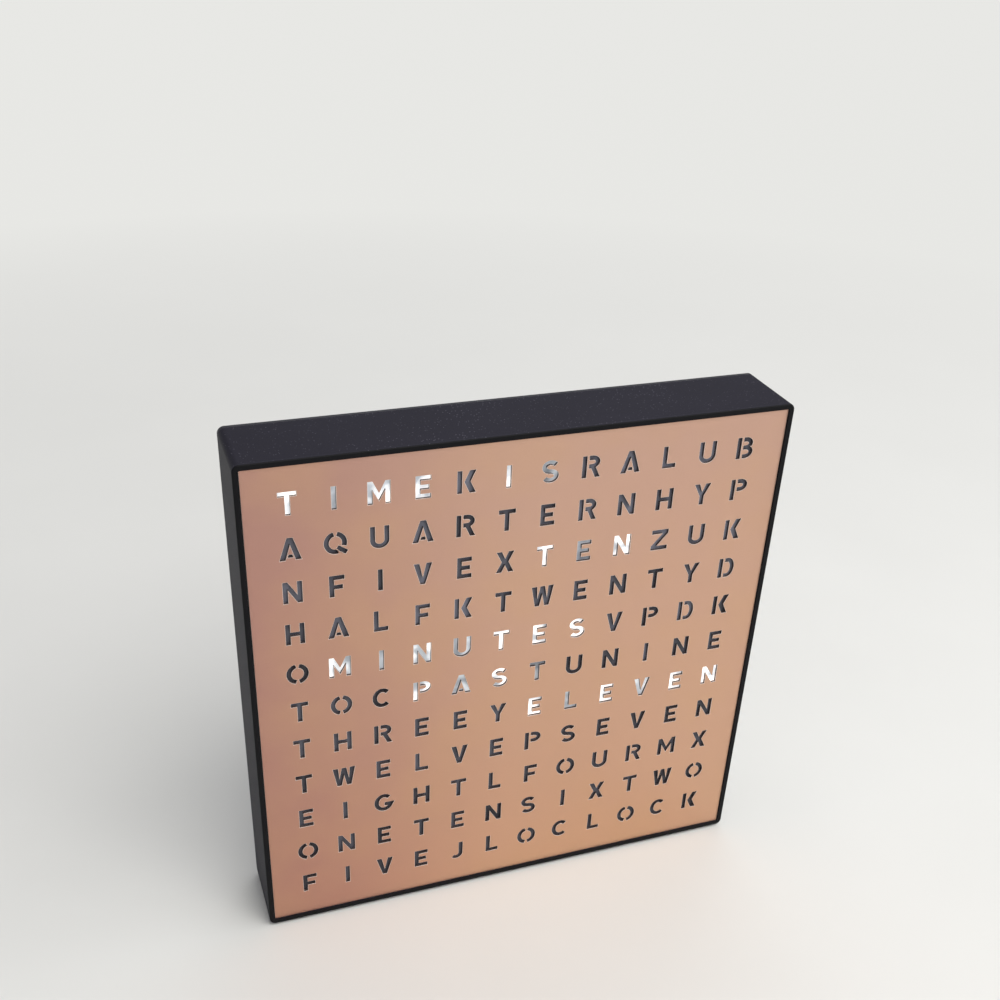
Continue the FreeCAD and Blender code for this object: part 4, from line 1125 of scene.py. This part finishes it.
# %% Finish the sleeve
def make_sleeve():
    """A glossy film: slate, with a pale band and a thin line at the nub's end."""
    material, tree, shader = new_material("cell_sleeve")
    place = add_node(tree, "ShaderNodeAttribute", attribute_name="along").outputs["Fac"]
    surface = use_group(tree, grain_group, Scale=700.0, Tone_Scale=40.0)
    slate = mix_colours(tree, surface.outputs["Tone"], rgb(0.030, 0.038, 0.055), rgb(0.045, 0.055, 0.075))
    pale = mix_colours(tree, surface.outputs["Tone"], rgb(0.50, 0.50, 0.49), rgb(0.60, 0.60, 0.58))
    colour = mix_colours(tree, add_math(tree, "LESS_THAN", place, 0.26), slate, pale)
    line = add_math(tree, "COMPARE", place, 0.30, 0.008)
    tree.links.new(mix_colours(tree, line, colour, pale), shader.inputs["Base Color"])
    shader.inputs["Roughness"].default_value = 0.28
    shader.inputs["Coat Weight"].default_value = 0.3
    shader.inputs["Coat Roughness"].default_value = 0.15
    return material


def build_cell_tree():
    tree, given, result = start_tree("cell_set", [("Cell", "NodeSocketObject", None),
                                                  ("Sleeve", "NodeSocketMaterial", None),
                                                  ("Material", "NodeSocketMaterial", None)])
    shape = add_node(tree, "GeometryNodeObjectInfo", {"Object": given.outputs["Cell"]})
    turn = add_node(tree, "GeometryNodeInputNamedAttribute", {"Name": "turn"}, data_type="FLOAT")
    turned = find_socket(turn.outputs, "Attribute_Float", "Attribute")
    angles = add_node(tree, "ShaderNodeCombineXYZ", {"Z": turned})
    steel = place_copies(tree, given, result, shape.outputs["Geometry"], angles.outputs[0])
    mark = add_node(tree, "GeometryNodeInputNamedAttribute", {"Name": "in_sleeve"}, data_type="BOOLEAN")
    marked = find_socket(mark.outputs, "Attribute_Bool", "Attribute")
    sleeved = add_node(tree, "GeometryNodeSetMaterial", {"Geometry": steel, "Selection": marked,
                                                         "Material": given.outputs["Sleeve"]})
    tree.links.new(sleeved.outputs["Geometry"], result.inputs["Geometry"])
    return tree


# %% Lay the three cells
axis_y = (cells_low.y + cells_high.y) / 2
cell_places = [(cells_high.x, axis_y, cells_low.z + cell_radius),
               (cells_low.x, axis_y, cells_low.z + cell_radius + cell_pitch),
               (cells_high.x, axis_y, cells_high.z - cell_radius)]
cell_points = points_object("cell_points", cell_places)
turn = cell_points.data.attributes.new("turn", "FLOAT", "POINT")
turn.data.foreach_set("value", [math.pi / 2, -math.pi / 2, math.pi / 2])
cells = run_tree(cell_points, build_cell_tree(), {"Cell": cell_source, "Sleeve": make_sleeve(), "Material": nickel},
                 "cells")
bpy.data.objects.remove(cell_source)
tidy_mesh(cells.data)
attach(cells, "clock_body")
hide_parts("battery_cells")
print("cell finishes:", [material.name for material in cells.data.materials], "faces", len(cells.data.polygons))

# %% [markdown]
# ## Marks beside the controls
# A clock like this has small marks printed beside its keys and switch, so that they can be told
# apart from behind. They are plain letters. Text is made a mesh before it is placed, turned to
# face the back, and is only as thick as a layer of ink.

# %% Print the marks
ink_grey = make_finish("ink_grey", rgb(0.34, 0.34, 0.35), rgb(0.42, 0.42, 0.43), 0.6, grain=3000.0, bump=0.2)
mark_height = 2.6 * MM
capital_share = 0.72
ink_thickness = 0.02 * MM


def node_middle(name):
    low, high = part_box(name)
    return (low + high) / 2


def print_mark(name, words, x, z):
    """Words on the back face. Their right edge, as read from behind, is at the place."""
    text = bpy.data.curves.new(name, "FONT")
    text.body = words
    text.size = mark_height / capital_share
    text.align_x = "RIGHT"
    text.align_y = "CENTER"
    text.extrude = ink_thickness / 2
    mark = as_mesh(add_object(name, text), name)
    turn = Matrix.Rotation(math.pi, 4, "Z") @ Matrix.Rotation(math.pi / 2, 4, "X")
    back_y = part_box("rear_cover")[1].y
    mark.data.transform(Matrix.Translation((x, back_y + ink_thickness / 2, z)) @ turn)
    tidy_mesh(mark.data)
    mark.data.materials.clear()
    mark.data.materials.append(ink_grey)
    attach(mark, "clock_body")
    return mark


mark_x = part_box("minute_button")[1].x + 4.5 * MM
switch_middle = node_middle("power_switch_body")
marks = [print_mark("mark_hour", "H", mark_x, node_middle("hour_button").z),
         print_mark("mark_minute", "M", mark_x, node_middle("minute_button").z),
         print_mark("mark_on", "ON", mark_x, switch_middle.z + 2.6 * MM),
         print_mark("mark_off", "OFF", mark_x, switch_middle.z - 2.6 * MM),
         print_mark("mark_socket", "5V", mark_x, node_middle("dc_jack_pin").z)]
print("marks:", [mark.name for mark in marks])
